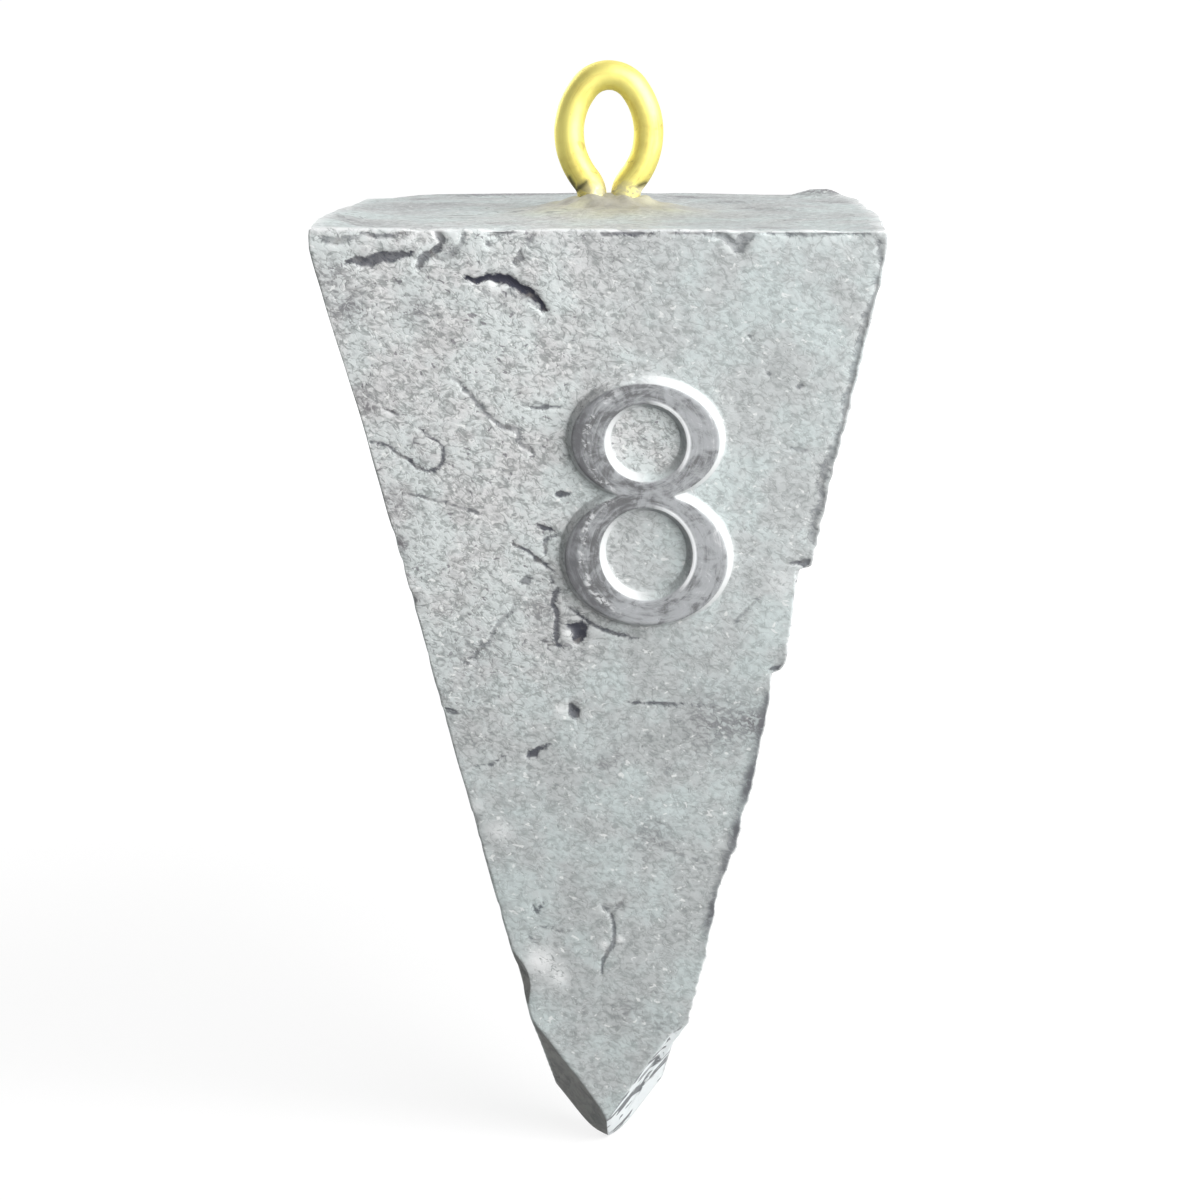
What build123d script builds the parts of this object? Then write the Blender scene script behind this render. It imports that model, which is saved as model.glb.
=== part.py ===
from build123d import *
import os
from math import acos, atan2, cos, degrees, hypot, pi, sin

# A pyramid sinker, in millimetres: a poured lead weight with a brass wire eye cast into its top.
# +Z is up, as it hangs, and the face with the raised weight figure looks along -Y.
# The origin is the middle of the eye, at its widest, where the line pulls.

# Lead weight
BODY_WIDTH = 30.6  # the square top, from side to side
BODY_HEIGHT = 54.5  # from the top down to the tip
TIP_WIDTH = 4.7  # across the four long faces, carried on down to the level of the tip
TIP_CORNER_HEIGHT = 7.3  # above the tip, where its facets run out on the long corners
TIP_FACE_HEIGHT = 1.85  # above the tip, where they run together on the front and back faces
EDGE_RADIUS = 0.3  # rounding of the long corners and the rim of the top

# Lead collar that rises round the wire
COLLAR_HEIGHT = 1.3
COLLAR_WALL = 0.35  # lead outside the wire at the collar's top
COLLAR_SPREAD = 1.85  # from the collar's top out to its foot
COLLAR_SAG = 0.25  # hollow of its flank
COLLAR_ROOT = 0.6  # how far it runs on down into the weight

# Brass wire, bent to an eye whose two legs splay inside the lead
WIRE_DIAMETER = 1.7
OPENING_WIDTH = 2.8
OPENING_RISE = 2.35  # from the widest part of the opening to its top
CROWN_RADIUS = 0.9  # inside of the bend over the top
NECK_GAP = 0.2  # between the two legs where they come closest
NECK_DEPTH = 0.45  # closest point, below the top of the collar
NECK_RADIUS = 0.75  # inside of the bend at the neck
LEG_LENGTH = 5.0  # straight end of each leg
LEG_SPLAY = 35 * pi / 180  # of each leg from the vertical

# Raised weight figure, an 8 of two oval bowls on the front face
FIGURE_OFFSET = 2.5  # to the right of the face's centre line
FIGURE_DROP = 7.95  # down the face, from the rim to the figure's top
FIGURE_RAISE = 0.55
FIGURE_ROOT = 0.4  # how far it runs on into the face
FIGURE_DRAFT = 0.55  # lean of its walls, over its raised height
UPPER_BOWL_WIDTH = 8.6
UPPER_BOWL_HEIGHT = 7.0
LOWER_BOWL_WIDTH = 9.5
LOWER_BOWL_HEIGHT = 8.2
BOWL_OVERLAP = 0.55
WAIST_WIDTH = 3.9  # where the two bowls run together
STROKE = 1.8  # at the figure's top and bottom, where it meets the face
SIDE_STROKE = 2.6
WAIST_STROKE = 2.3

# Centre line of the wire: crown, sides and neck are arcs that run into each other
wire_radius = WIRE_DIAMETER / 2
eye_half_width = OPENING_WIDTH / 2 + wire_radius
eye_crown = OPENING_RISE + wire_radius
crown_radius = CROWN_RADIUS + wire_radius
neck_radius = NECK_RADIUS + wire_radius
neck_half = NECK_GAP / 2 + wire_radius
crown_centre = (0, eye_crown - crown_radius)
side_radius = (
    eye_half_width**2 + crown_centre[1] ** 2 - crown_radius**2
) / (2 * (eye_half_width - crown_radius))
side_centre = (eye_half_width - side_radius, 0)
side_to_crown = atan2(crown_centre[1], -side_centre[0])
side_to_neck = acos((neck_half + neck_radius - side_centre[0]) / (side_radius + neck_radius))
neck_centre = (
    side_centre[0] + (side_radius + neck_radius) * cos(side_to_neck),
    -(side_radius + neck_radius) * sin(side_to_neck),
)
leg_top = (
    neck_centre[0] - neck_radius * cos(LEG_SPLAY),
    neck_centre[1] - neck_radius * sin(LEG_SPLAY),
)
leg_end = (
    leg_top[0] + LEG_LENGTH * sin(LEG_SPLAY),
    leg_top[1] - LEG_LENGTH * cos(LEG_SPLAY),
)

# Levels of the weight below the eye
top_z = neck_centre[1] + NECK_DEPTH - COLLAR_HEIGHT
tip_z = top_z - BODY_HEIGHT

# Front face, with x across it and y up it from the middle of the rim
face_lean = (BODY_WIDTH - TIP_WIDTH) / 2 / BODY_HEIGHT
front_face = Plane(
    origin=(0, -BODY_WIDTH / 2, top_z),
    x_dir=(1, 0, 0),
    z_dir=(0, -1, -face_lean),
)

# Facets of the tip: a steeper pyramid on the diagonals, flatter from front to back than from side to side
facet_corner = TIP_WIDTH / 2 + face_lean * TIP_CORNER_HEIGHT
facet_face = TIP_WIDTH / 2 + face_lean * TIP_FACE_HEIGHT
facet_back = TIP_FACE_HEIGHT / facet_face
facet_across = TIP_CORNER_HEIGHT / facet_corner - facet_back

# Levels of the figure, down the face from the rim
upper_middle = FIGURE_DROP + UPPER_BOWL_HEIGHT / 2
upper_bottom = FIGURE_DROP + UPPER_BOWL_HEIGHT
lower_top = upper_bottom - BOWL_OVERLAP
lower_middle = lower_top + LOWER_BOWL_HEIGHT / 2
waist = upper_bottom - BOWL_OVERLAP / 2
figure_bottom = lower_top + LOWER_BOWL_HEIGHT
upper_counter = (FIGURE_DROP + STROKE, waist - WAIST_STROKE / 2)
lower_counter = (waist + WAIST_STROKE / 2, figure_bottom - STROKE)


def oval_boss(middle, width, height, draft, mode=Mode.ADD):
    """An oval on the front face whose outline draws in by draft over the figure's raised height."""
    lean = draft / FIGURE_RAISE
    sections = []
    for level in (-FIGURE_ROOT, FIGURE_RAISE):
        with BuildSketch(front_face.offset(level)) as outline:
            with Locations((FIGURE_OFFSET, -middle)):
                Ellipse(width / 2 - lean * level, height / 2 - lean * level)
        sections.append(outline.sketch)
    loft(sections, mode=mode)


# Brass wire eye
with BuildPart() as wire_eye:
    with BuildLine(Plane.XZ) as centre_line:
        Line(leg_end, leg_top)
        CenterArc(neck_centre, neck_radius, 180 + degrees(LEG_SPLAY), -degrees(LEG_SPLAY + side_to_neck))
        CenterArc(side_centre, side_radius, -degrees(side_to_neck), degrees(side_to_neck + side_to_crown))
        CenterArc(crown_centre, crown_radius, degrees(side_to_crown), 90 - degrees(side_to_crown))
        mirror(about=Plane.YZ)
    leg_direction = Vector(leg_top[0] - leg_end[0], 0, leg_top[1] - leg_end[1])
    with BuildSketch(Plane(origin=(leg_end[0], 0, leg_end[1]), z_dir=leg_direction)):
        Circle(wire_radius)
    sweep(path=centre_line.wires()[0])
wire_eye.part.label = "wire_eye"

# Raised figure, which is cast in one with the weight
with BuildPart() as figure:
    oval_boss(upper_middle, UPPER_BOWL_WIDTH, UPPER_BOWL_HEIGHT, FIGURE_DRAFT)
    oval_boss(lower_middle, LOWER_BOWL_WIDTH, LOWER_BOWL_HEIGHT, FIGURE_DRAFT)
    oval_boss(waist, WAIST_WIDTH, WAIST_STROKE, FIGURE_DRAFT)
    for counter, bowl_width in ((upper_counter, UPPER_BOWL_WIDTH), (lower_counter, LOWER_BOWL_WIDTH)):
        counter_middle = sum(counter) / 2
        counter_height = counter[1] - counter[0]
        counter_width = bowl_width - 2 * SIDE_STROKE
        oval_boss(counter_middle, counter_width, counter_height, -FIGURE_DRAFT, Mode.SUBTRACT)

# Lead weight, poured round the legs of the eye
with BuildPart() as lead_weight:
    with BuildSketch(Plane.XY.offset(top_z)):
        Rectangle(BODY_WIDTH, BODY_WIDTH)
    extrude(amount=-BODY_HEIGHT)
    for quarter in range(4):
        facing = quarter * pi / 2
        out = Vector(cos(facing), sin(facing), 0)
        long_face = Plane(
            origin=out * (BODY_WIDTH / 2) + Vector(0, 0, top_z),
            z_dir=out - Vector(0, 0, face_lean),
        )
        split(bisect_by=long_face, keep=Keep.BOTTOM)
    fillet(lead_weight.edges().group_by(Axis.Z)[1:], EDGE_RADIUS)
    for across in (-facet_across, facet_across):
        for back in (-facet_back, facet_back):
            facet = Plane(origin=(0, 0, tip_z), z_dir=(across, back, -1))
            split(bisect_by=facet, keep=Keep.BOTTOM)
    collar_top_radius = neck_half + wire_radius + COLLAR_WALL
    collar_foot_radius = collar_top_radius + COLLAR_SPREAD
    with BuildSketch(Plane.XZ):
        with BuildLine():
            foot = (collar_foot_radius, top_z)
            shoulder = (collar_top_radius, top_z + COLLAR_HEIGHT)
            root = top_z - COLLAR_ROOT
            SagittaArc(foot, shoulder, COLLAR_SAG)
            Polyline(shoulder, (0, shoulder[1]), (0, root), (collar_foot_radius, root), foot)
        make_face()
    revolve(axis=Axis.Z)
    add(figure.part)
    add(wire_eye.part, mode=Mode.SUBTRACT)
lead_weight.part.label = "lead_weight"

os.makedirs("parts", exist_ok=True)
export_step(lead_weight.part, "parts/lead_weight.step")
export_step(wire_eye.part, "parts/wire_eye.step")

wire_length = sum(edge.length for edge in centre_line.edges())
print("wire volume over section times length", wire_eye.part.volume / (pi * wire_radius**2 * wire_length))
print("lead volume, cubic millimetres", lead_weight.part.volume)
print("eye middle above the top", -top_z, "face length", hypot(BODY_HEIGHT, face_lean * BODY_HEIGHT))
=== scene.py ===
"""Fishing sinker: a dented lead pyramid with a raised weight figure and a brass wire eye.

Laid out as a Blender add-on and run as a script. The mesh code works in millimetres, and a mesh is
written in metres. A place on the front face is given as millimetres across from its middle line, to the
right, and millimetres down from the rim of the top.
"""

from math import acos, atan2, cos, pi, radians, sin
from typing import NamedTuple

import bpy
import numpy as np
from bpy.props import FloatProperty, FloatVectorProperty, PointerProperty
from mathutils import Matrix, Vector, noise


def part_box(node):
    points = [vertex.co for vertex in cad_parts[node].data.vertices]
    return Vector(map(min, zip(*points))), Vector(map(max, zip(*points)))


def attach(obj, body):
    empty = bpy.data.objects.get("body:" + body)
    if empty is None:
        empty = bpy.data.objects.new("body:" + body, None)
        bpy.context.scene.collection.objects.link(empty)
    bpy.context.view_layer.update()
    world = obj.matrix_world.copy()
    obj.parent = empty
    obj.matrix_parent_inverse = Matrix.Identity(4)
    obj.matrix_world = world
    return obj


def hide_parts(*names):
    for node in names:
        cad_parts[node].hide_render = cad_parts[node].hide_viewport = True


bl_info = {
    "name": "Fishing Sinker",
    "version": (1, 0, 0),
    "blender": (4, 5, 0),
    "location": "3D View > Sidebar > Sinker",
    "description": "Builds a cast lead sinker with a brass wire eye, and a studio to show it in",
    "category": "Add Mesh",
}

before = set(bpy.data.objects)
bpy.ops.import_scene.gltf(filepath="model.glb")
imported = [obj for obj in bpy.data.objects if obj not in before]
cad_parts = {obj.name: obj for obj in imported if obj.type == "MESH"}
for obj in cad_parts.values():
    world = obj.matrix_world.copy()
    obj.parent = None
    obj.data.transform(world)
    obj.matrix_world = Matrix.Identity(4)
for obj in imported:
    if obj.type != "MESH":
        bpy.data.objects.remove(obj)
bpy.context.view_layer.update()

MM = 0.001
BODY = "root"
LEAD_NODE = "lead_weight"
WIRE_NODE = "wire_eye"
LEAD_LOW, LEAD_HIGH = (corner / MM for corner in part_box(LEAD_NODE))
WIRE_LOW, WIRE_HIGH = (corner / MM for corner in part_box(WIRE_NODE))


# Settings that a user would change

LENGTH = {"unit": "LENGTH", "precision": 5}
ANGLE = {"subtype": "ANGLE"}
COLOUR = {"subtype": "COLOR", "size": 3}


class SinkerLead(bpy.types.PropertyGroup):
    """Sizes and colours of the lead weight"""

    top_width: FloatProperty(
        name="Top width", description="Across the square top, to its sharp rim",
        default=30.6 * MM, **LENGTH)
    tip_width: FloatProperty(
        name="Tip width", description="Across the long faces, carried on down to the tip's level",
        default=4.7 * MM, **LENGTH)
    facet_corner: FloatProperty(
        name="Facet corner", description="Above the tip, where its facets run out on the long corners",
        default=8.2 * MM, **LENGTH)
    facet_face: FloatProperty(
        name="Facet face", description="Above the tip, where the facets meet on the front and back",
        default=1.85 * MM, **LENGTH)
    collar_height: FloatProperty(
        name="Collar height", description="Rise of the lead round the wire", default=1.3 * MM, **LENGTH)
    edge_radius: FloatProperty(
        name="Edge radius", description="Rounding of the rim and the long corners",
        default=0.18 * MM, **LENGTH)
    figure_raise: FloatProperty(
        name="Figure height", description="How far the weight figure stands out",
        default=0.55 * MM, **LENGTH)
    pale: FloatVectorProperty(
        name="Pale lead", description="Light flakes of the cast skin",
        default=(0.7, 0.735, 0.735), **COLOUR)
    dull: FloatVectorProperty(
        name="Dull lead", description="Dark flakes of the cast skin",
        default=(0.34, 0.365, 0.365), **COLOUR)
    # The stroke colour also paints the shade of the figure's walls that face away from the light.
    stroke: FloatVectorProperty(
        name="Stroke", description="Rubbed top of the weight figure",
        default=(0.175, 0.177, 0.183), **COLOUR)
    # The grime colour also paints the shade in the marks' dents, and the creases.
    grime_and_shade: FloatVectorProperty(
        name="Grime", description="Dirt in dents and scratches", default=(0.045, 0.047, 0.066), **COLOUR)


class SinkerEye(bpy.types.PropertyGroup):
    """Sizes and colours of the wire eye"""

    wire_diameter: FloatProperty(
        name="Wire diameter", description="Of the drawn brass wire",
        default=(WIRE_HIGH.y - WIRE_LOW.y) * MM, **LENGTH)
    opening_width: FloatProperty(
        name="Opening width", description="Inside the eye, at its widest", default=2.8 * MM, **LENGTH)
    crown_radius: FloatProperty(
        name="Crown radius", description="Inside of the bend over the top", default=0.9 * MM, **LENGTH)
    neck_gap: FloatProperty(
        name="Neck gap", description="Between the legs where they come closest", default=0.2 * MM, **LENGTH)
    neck_radius: FloatProperty(
        name="Neck radius", description="Inside of the bend at the neck", default=0.75 * MM, **LENGTH)
    leg_length: FloatProperty(
        name="Leg length", description="Straight end of each leg, in the lead", default=5.0 * MM, **LENGTH)
    leg_splay: FloatProperty(
        name="Leg splay", description="Lean of each leg from the vertical", default=radians(35), **ANGLE)
    brass: FloatVectorProperty(
        name="Brass", description="Bright drawn wire", default=(0.86, 0.78, 0.25), **COLOUR)
    tarnish: FloatVectorProperty(
        name="Tarnish", description="Dulled patches of the wire", default=(0.56, 0.43, 0.12), **COLOUR)


class SinkerStudio(bpy.types.PropertyGroup):
    """Floor, light and camera"""

    floor_colour: FloatVectorProperty(
        name="Floor", description="Pale floor that the tip stands on", default=(0.28, 0.28, 0.28), **COLOUR)
    room_light: FloatProperty(
        name="Room light", description="Even light from all round", default=0.2)
    key_light: FloatProperty(
        name="Key light", description="Large soft lamp, to the right of the camera and above it",
        default=2.62, unit="POWER")
    back_light: FloatProperty(
        name="Back light", description="Weaker lamp behind, to the left", default=2.2, unit="POWER")
    lens: FloatProperty(
        name="Lens", description="Focal length", default=107.7, subtype="DISTANCE_CAMERA")
    distance: FloatProperty(
        name="Distance", description="From the camera to the middle of the view",
        default=207.27 * MM, **LENGTH)
    azimuth: FloatProperty(
        name="Azimuth", description="Turn of the camera to the right of the front face",
        default=radians(2.5), **ANGLE)
    elevation: FloatProperty(
        name="Elevation", description="Height of the camera as an angle", default=radians(10.1), **ANGLE)


# Marks of the front face

class Mark(NamedTuple):
    """A dent, scratch or crack: how wide, deep and dark it is, and the line it follows; its dark paint is
    partly grime and partly painted shade on its walls.
    """

    name: str
    width: float
    depth: float
    tone: float
    line: tuple


MARKS = (
    Mark("slot under the rim", 0.55, 0.2, 0.8, ((-13.2, 1.8), (-11.9, 1.65), (-10.4, 1.4), (-9.7, 1.35))),
    Mark("notch in the rim", 0.42, 0.2, 0.7, ((-8.5, 0.1), (-8.1, 0.7), (-8.7, 1.3), (-9.4, 1.9))),
    Mark("flap by the notch", 0.34, 0.12, 0.4, ((-7.1, 0.3), (-7.3, 1.0), (-8.6, 1.8))),
    # The crescent's dark band is mostly the painted shade of the dent's upper wall, and the slope under it
    # is painted shade too
    Mark("crescent", 0.54, 0.2, 1.0,
         ((-6.9, 2.6), (-6.2, 2.65), (-5.2, 2.6), (-4.5, 2.75), (-3.9, 3.1), (-3.35, 3.65), (-2.7, 4.3))),
    Mark("slope under the crescent", 0.34, 0.04, 0.32,
         ((-5.0, 3.3), (-4.3, 3.42), (-3.7, 3.8), (-3.2, 4.1))),
    Mark("line under the crescent", 0.14, 0.03, 0.5, ((-6.1, 3.2), (-5.0, 4.0))),
    Mark("start of the gouge", 0.24, 0.04, 0.35, ((-7.9, 8.0), (-7.3, 8.7))),
    Mark("gouge", 0.3, 0.06, 0.52,
         ((-7.5, 8.5), (-6.0, 10.2), (-5.2, 10.9), (-4.3, 11.1), (-4.3, 11.8), (-3.5, 12.5))),
    Mark("dash by the figure", 0.28, 0.08, 0.65, ((-3.5, 9.8), (-2.1, 9.8))),
    Mark("hair line", 0.22, 0.04, 0.78,
         ((-12.6, 11.9), (-11.7, 11.9), (-10.9, 12.5), (-10.0, 13.2), (-9.4, 13.5), (-8.9, 13.45),
          (-8.5, 13.1), (-8.35, 12.6), (-8.5, 12.1), (-9.0, 11.6), (-9.7, 11.1))),
    Mark("nick over the hair line", 0.2, 0.05, 0.75, ((-11.5, 9.85), (-10.7, 10.3))),
    Mark("scratch below it", 0.2, 0.03, 0.55, ((-10.7, 14.8), (-8.7, 15.2), (-6.5, 16.0))),
    Mark("blob at the waist", 0.42, 0.12, 0.8, ((-2.4, 14.9), (-1.6, 14.8))),
    Mark("upper dash", 0.34, 0.1, 0.85, ((-3.4, 16.6), (-2.6, 16.9))),
    Mark("hook", 0.24, 0.08, 0.65, ((-2.4, 17.2), (-2.9, 17.5), (-3.0, 18.4))),
    Mark("long cut", 0.24, 0.06, 0.8, ((-4.8, 17.6), (-3.6, 18.5), (-2.5, 19.4))),
    Mark("dot over the crack", 0.3, 0.08, 0.6, ((-2.7, 19.8), (-2.6, 20.1))),
    Mark("spot", 0.34, 0.08, 0.6, ((-4.4, 20.0), (-3.9, 19.9))),
    Mark("crack beside the figure", 0.3, 0.07, 0.75,
         ((-2.3, 20.3), (-2.6, 21.2), (-2.4, 22.1), (-2.4, 23.6))),
    Mark("branch of the crack", 0.24, 0.08, 0.8, ((-3.3, 23.5), (-2.2, 23.8))),
    Mark("pit by the crack", 0.72, 0.2, 0.95, ((-1.8, 22.7), (-1.1, 22.7), (-1.3, 23.5))),
    Mark("scratch to the left", 0.3, 0.06, 0.4, ((-4.7, 21.4), (-5.6, 22.6), (-6.4, 23.8), (-7.6, 25.0))),
    Mark("cut under the figure", 0.22, 0.08, 0.8, ((-1.8, 21.5), (-0.5, 22.5), (0.9, 23.1), (2.4, 23.4))),
    Mark("three-sided pit", 0.62, 0.2, 0.8, ((-1.8, 27.4), (-1.4, 28.1))),
    Mark("short gouge", 0.5, 0.18, 0.85, ((-4.3, 30.7), (-3.0, 29.9))),
    Mark("fine line", 0.24, 0.04, 0.75, ((1.4, 27.2), (6.2, 27.45))),
    Mark("curl", 0.22, 0.06, 0.65, ((-7.4, 31.2), (-6.4, 31.3), (-5.2, 30.3))),
    Mark("dash by the left edge", 0.3, 0.08, 0.75, ((-8.8, 27.7), (-8.0, 28.0))),
    Mark("stem of the forked crack", 0.3, 0.06, 0.6,
         ((0.4, 40.5), (0.5, 41.2), (0.5, 42.2), (0.0, 43.3), (-0.2, 44.4))),
    Mark("left of the fork", 0.24, 0.08, 0.5, ((-0.1, 39.9), (0.4, 40.5))),
    Mark("right of the fork", 0.24, 0.08, 0.5, ((1.1, 39.6), (0.4, 40.5))),
    Mark("faint line", 0.18, 0.04, 0.4, ((-4.0, 41.3), (-3.2, 41.5), (-1.4, 41.8))),
    Mark("dash by the faint line", 0.26, 0.06, 0.65, ((-4.4, 42.1), (-3.9, 42.3))),
    Mark("dots", 0.22, 0.06, 0.75, ((-4.1, 40.0), (-3.8, 40.4), (-3.5, 39.8))),
    Mark("dent in the rim", 0.55, 0.16, 0.4, ((6.1, 0.0), (7.3, 1.0), (7.9, 0.4), (8.8, 0.0))),
    # The dashes and spots in and under the rim below are shallow dents whose dark paint is mostly painted
    # shadow under the rim
    Mark("dark dash in the rim", 0.34, 0.1, 0.8, ((0.3, 0.25), (1.2, 0.15), (2.9, 0.3))),
    Mark("long dash in the rim", 0.22, 0.08, 0.7, ((3.7, 0.15), (4.9, 0.2), (6.5, 0.15))),
    Mark("right dash in the rim", 0.22, 0.08, 0.6, ((8.9, 0.2), (11.0, 0.3), (14.4, 0.2))),
    Mark("left shade in the rim", 0.4, 0.08, 0.45, ((-14.6, 0.5), (-13.6, 0.6), (-12.6, 0.5))),
    Mark("left dash in the rim", 0.26, 0.08, 0.65, ((-12.4, 0.3), (-11.2, 0.4), (-9.9, 0.3))),
    Mark("short dash in the rim", 0.28, 0.08, 0.7, ((-5.7, 0.4), (-4.3, 0.2))),
    Mark("blot under the rim", 0.4, 0.12, 0.6, ((-3.9, 1.1), (-4.3, 1.8))),
    Mark("drop under the rim", 0.26, 0.08, 0.5, ((-3.5, 0.3), (-3.6, 1.0))),
    Mark("pit under the rim", 0.34, 0.1, 0.6, ((-5.9, 0.8), (-5.7, 1.0))),
    Mark("pit one", 0.3, 0.1, 0.5, ((8.1, 5.7), (8.1, 5.9))),
    Mark("pit two", 0.28, 0.1, 0.45, ((9.1, 7.7), (9.1, 7.9))),
    Mark("pit three", 0.3, 0.1, 0.5, ((10.6, 8.6), (10.9, 8.5))),
    Mark("smudge", 0.34, 0.06, 0.4, ((10.3, 12.0), (11.2, 12.3))),
    Mark("groove by the right edge", 0.3, 0.08, 0.4,
         ((14.7, 0.7), (14.7, 2.1), (14.2, 3.7), (13.6, 6.2), (13.0, 9.3), (11.9, 13.5), (11.0, 17.5))),
    # Painted shadow under the flash's two steps, in shallow dents
    Mark("shade under the first step", 0.5, 0.15, 0.7, ((10.5, 18.9), (11.7, 18.5))),
    Mark("shade under the second step", 0.5, 0.15, 0.7, ((9.2, 25.1), (10.2, 25.0))),
    Mark("line by the right edge", 0.24, 0.05, 0.35, ((3.5, 36.4), (4.9, 36.8), (6.1, 37.5))),
    Mark("cut by the right edge", 0.24, 0.05, 0.4, ((8.7, 20.8), (7.9, 21.6), (7.2, 22.3))),
)

# Dark band along the right edge of the front face
EDGE_BAND = ((9.0, 26.6), (8.2, 30.0), (7.55, 32.8), (7.05, 35.0), (6.45, 37.6), (5.75, 40.7), (5.1, 43.5))


class Patch(NamedTuple):
    """A soft spot: where it is, how far it reaches and how strong it is."""

    across: float
    down: float
    reach: float
    strength: float


BRUISES = (
    Patch(-9.6, 4.4, 0.7, 0.6),
    Patch(-13.2, 4.2, 0.9, 0.7),
    Patch(-13.9, 2.4, 0.7, 0.5),
    Patch(-12.3, 9.9, 0.35, 0.9),
    Patch(-12.7, 9.1, 0.5, 0.5),
    Patch(-10.0, 11.7, 0.4, 0.45),
    Patch(-9.35, 12.75, 0.4, 0.5),
    Patch(-11.0, 15.4, 0.8, 0.6),
    Patch(-10.9, 17.8, 0.5, 0.9),
    Patch(-10.2, 21.2, 0.4, 0.7),
    Patch(-7.0, 24.3, 1.8, 0.35),
    Patch(-2.9, 21.5, 1.2, 0.35),
    Patch(6.5, 28.4, 1.7, 0.6),
    Patch(8.6, 28.4, 0.9, 0.7),
    Patch(2.8, 35.3, 1.2, 0.4),
    Patch(0.1, 31.1, 0.4, 0.5),
    Patch(0.9, 30.6, 0.4, 0.5),
    Patch(3.6, 31.4, 0.5, 0.4),
    Patch(1.3, 46.8, 0.6, 0.4),
    Patch(3.2, 47.8, 0.7, 0.35),
    Patch(-1.2, 46.7, 0.4, 0.35),
)
# Bright spots of the front face: partly bare metal, partly painted highlight, such as the lit lower walls
# of dents and the glint at the rim's notch
SHEEN_HIGHLIGHTS = (
    Patch(-3.7, 43.6, 0.8, 1.0),
    Patch(-2.6, 44.7, 0.6, 0.8),
    Patch(-5.8, 35.3, 0.6, 0.6),
    Patch(-7.3, 33.8, 0.5, 0.5),
    Patch(-8.5, 0.0, 0.4, 1.0),
    Patch(-5.7, 3.15, 0.25, 0.9),
    Patch(-1.9, 23.1, 0.25, 0.9),
    Patch(-2.3, 27.7, 0.3, 0.8),
    Patch(0.0, 42.5, 0.22, 1.0),
    Patch(0.9, 42.1, 0.22, 1.0),
    Patch(9.8, 20.0, 0.7, 0.5),
)

# Dark spots of the top, given as millimetres across and back from its middle
TOP_SPOTS = (
    Patch(-2.4, -1.0, 0.35, 0.8),
    Patch(0.7, -1.5, 0.3, 0.8),
    Patch(-0.9, -1.3, 0.5, 0.4),
    Patch(2.7, 0.3, 0.35, 0.6),
    Patch(4.6, 2.5, 0.6, 0.6),
    Patch(3.6, 12.0, 0.7, 1.0),
    Patch(4.4, 11.2, 0.8, 0.8),
    Patch(5.6, 11.4, 0.9, 0.5),
    Patch(6.8, 8.0, 1.3, 0.7),
    Patch(8.3, 3.4, 1.1, 0.7),
    Patch(9.6, 1.8, 1.2, 0.7),
    Patch(12.3, 14.3, 0.9, 0.7),
    Patch(13.6, 9.0, 1.1, 0.7),
    Patch(9.0, -11.6, 0.9, 0.5),
    Patch(14.5, -11.0, 1.0, 0.6),
    Patch(-11.6, 11.0, 0.8, 0.9),
    Patch(-9.0, 14.2, 1.6, 0.8),
    Patch(-6.4, 14.4, 1.6, 0.8),
    Patch(-3.8, 14.6, 1.6, 0.7),
    Patch(-10.0, 6.0, 1.5, 0.5),
    Patch(-13.2, -9.4, 1.3, 0.6),
    Patch(-12.6, 3.0, 3.5, 0.3),
    Patch(-5.4, -9.2, 1.1, 0.4),
    Patch(10.5, -3.0, 4.5, 0.2),
    Patch(9.0, 8.0, 5.0, 0.2),
)

# Blobs of lead at the feet of the wire and burrs of the back rim, across and back in the same way
FOOT_BLOBS = (
    Patch(-0.9, -1.5, 0.7, 0.28),
    Patch(-2.3, -0.5, 0.5, 0.12),
    Patch(2.2, -0.4, 0.4, 0.26),
    Patch(0.7, -1.2, 0.5, 0.2),
    Patch(0.0, -0.3, 0.5, 0.3),
)
TOP_BURRS = ((12.2, 15.3), (13.4, 14.6))

# Flash that squeezed out of the mould at the right front corner: how far down, and how far it stands out
FLASH = (
    (0.0, 0.0), (0.8, 0.15), (3.0, 0.3), (9.0, 0.36), (16.0, 0.5), (18.95, 0.62), (19.15, -0.2),
    (21.0, 0.12), (23.5, 0.5), (25.1, 0.6), (25.3, -0.1), (27.0, 0.3), (29.0, 0.45), (31.0, 0.55),
    (32.6, 0.62), (33.6, 0.5), (36.0, 0.6), (37.6, 0.4), (38.8, 0.2), (39.6, 0.28), (42.0, 0.45),
    (46.0, 0.5), (48.0, 0.45), (50.0, 0.3), (52.0, 0.12), (54.0, 0.0), (60.0, 0.0),
)

# Nicks of the two front corners, by how far down they are
LEFT_NICKS = (17.5, 19.0, 21.0, 27.1, 28.0, 34.5, 36.1, 40.3)
RIGHT_NICKS = (28.0, 30.8, 33.9, 35.8, 37.1)

# Cracks at the feet of the wire, and pale lead smears there with a painted highlight on them, across and
# down from the middle of the eye
FOOT_CRACKS = (((-2.2, 2.5), (-1.85, 3.25), (-1.25, 2.75)), ((1.7, 2.95), (2.1, 2.8)))
FOOT_SMEARS_AND_HIGHLIGHTS = (Patch(1.85, 3.25, 0.32, 1.0), Patch(-0.6, 3.4, 0.5, 0.8), Patch(0.6, 3.4, 0.5, 0.8))

# Weight figure on the front face: each oval has its middle, half-width and half-height, and the draft is
# how wide the sloping walls are
FIGURE_ACROSS = 2.5
UPPER_BOWL = (11.55, 4.3, 3.6)
LOWER_BOWL = (18.4, 4.75, 4.2)
WAIST_DOWN = 14.675
UPPER_COUNTER = (11.64, 1.88, 1.92)
LOWER_COUNTER = (18.1, 2.2, 2.42)
FIGURE_DRAFT = 0.33


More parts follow.
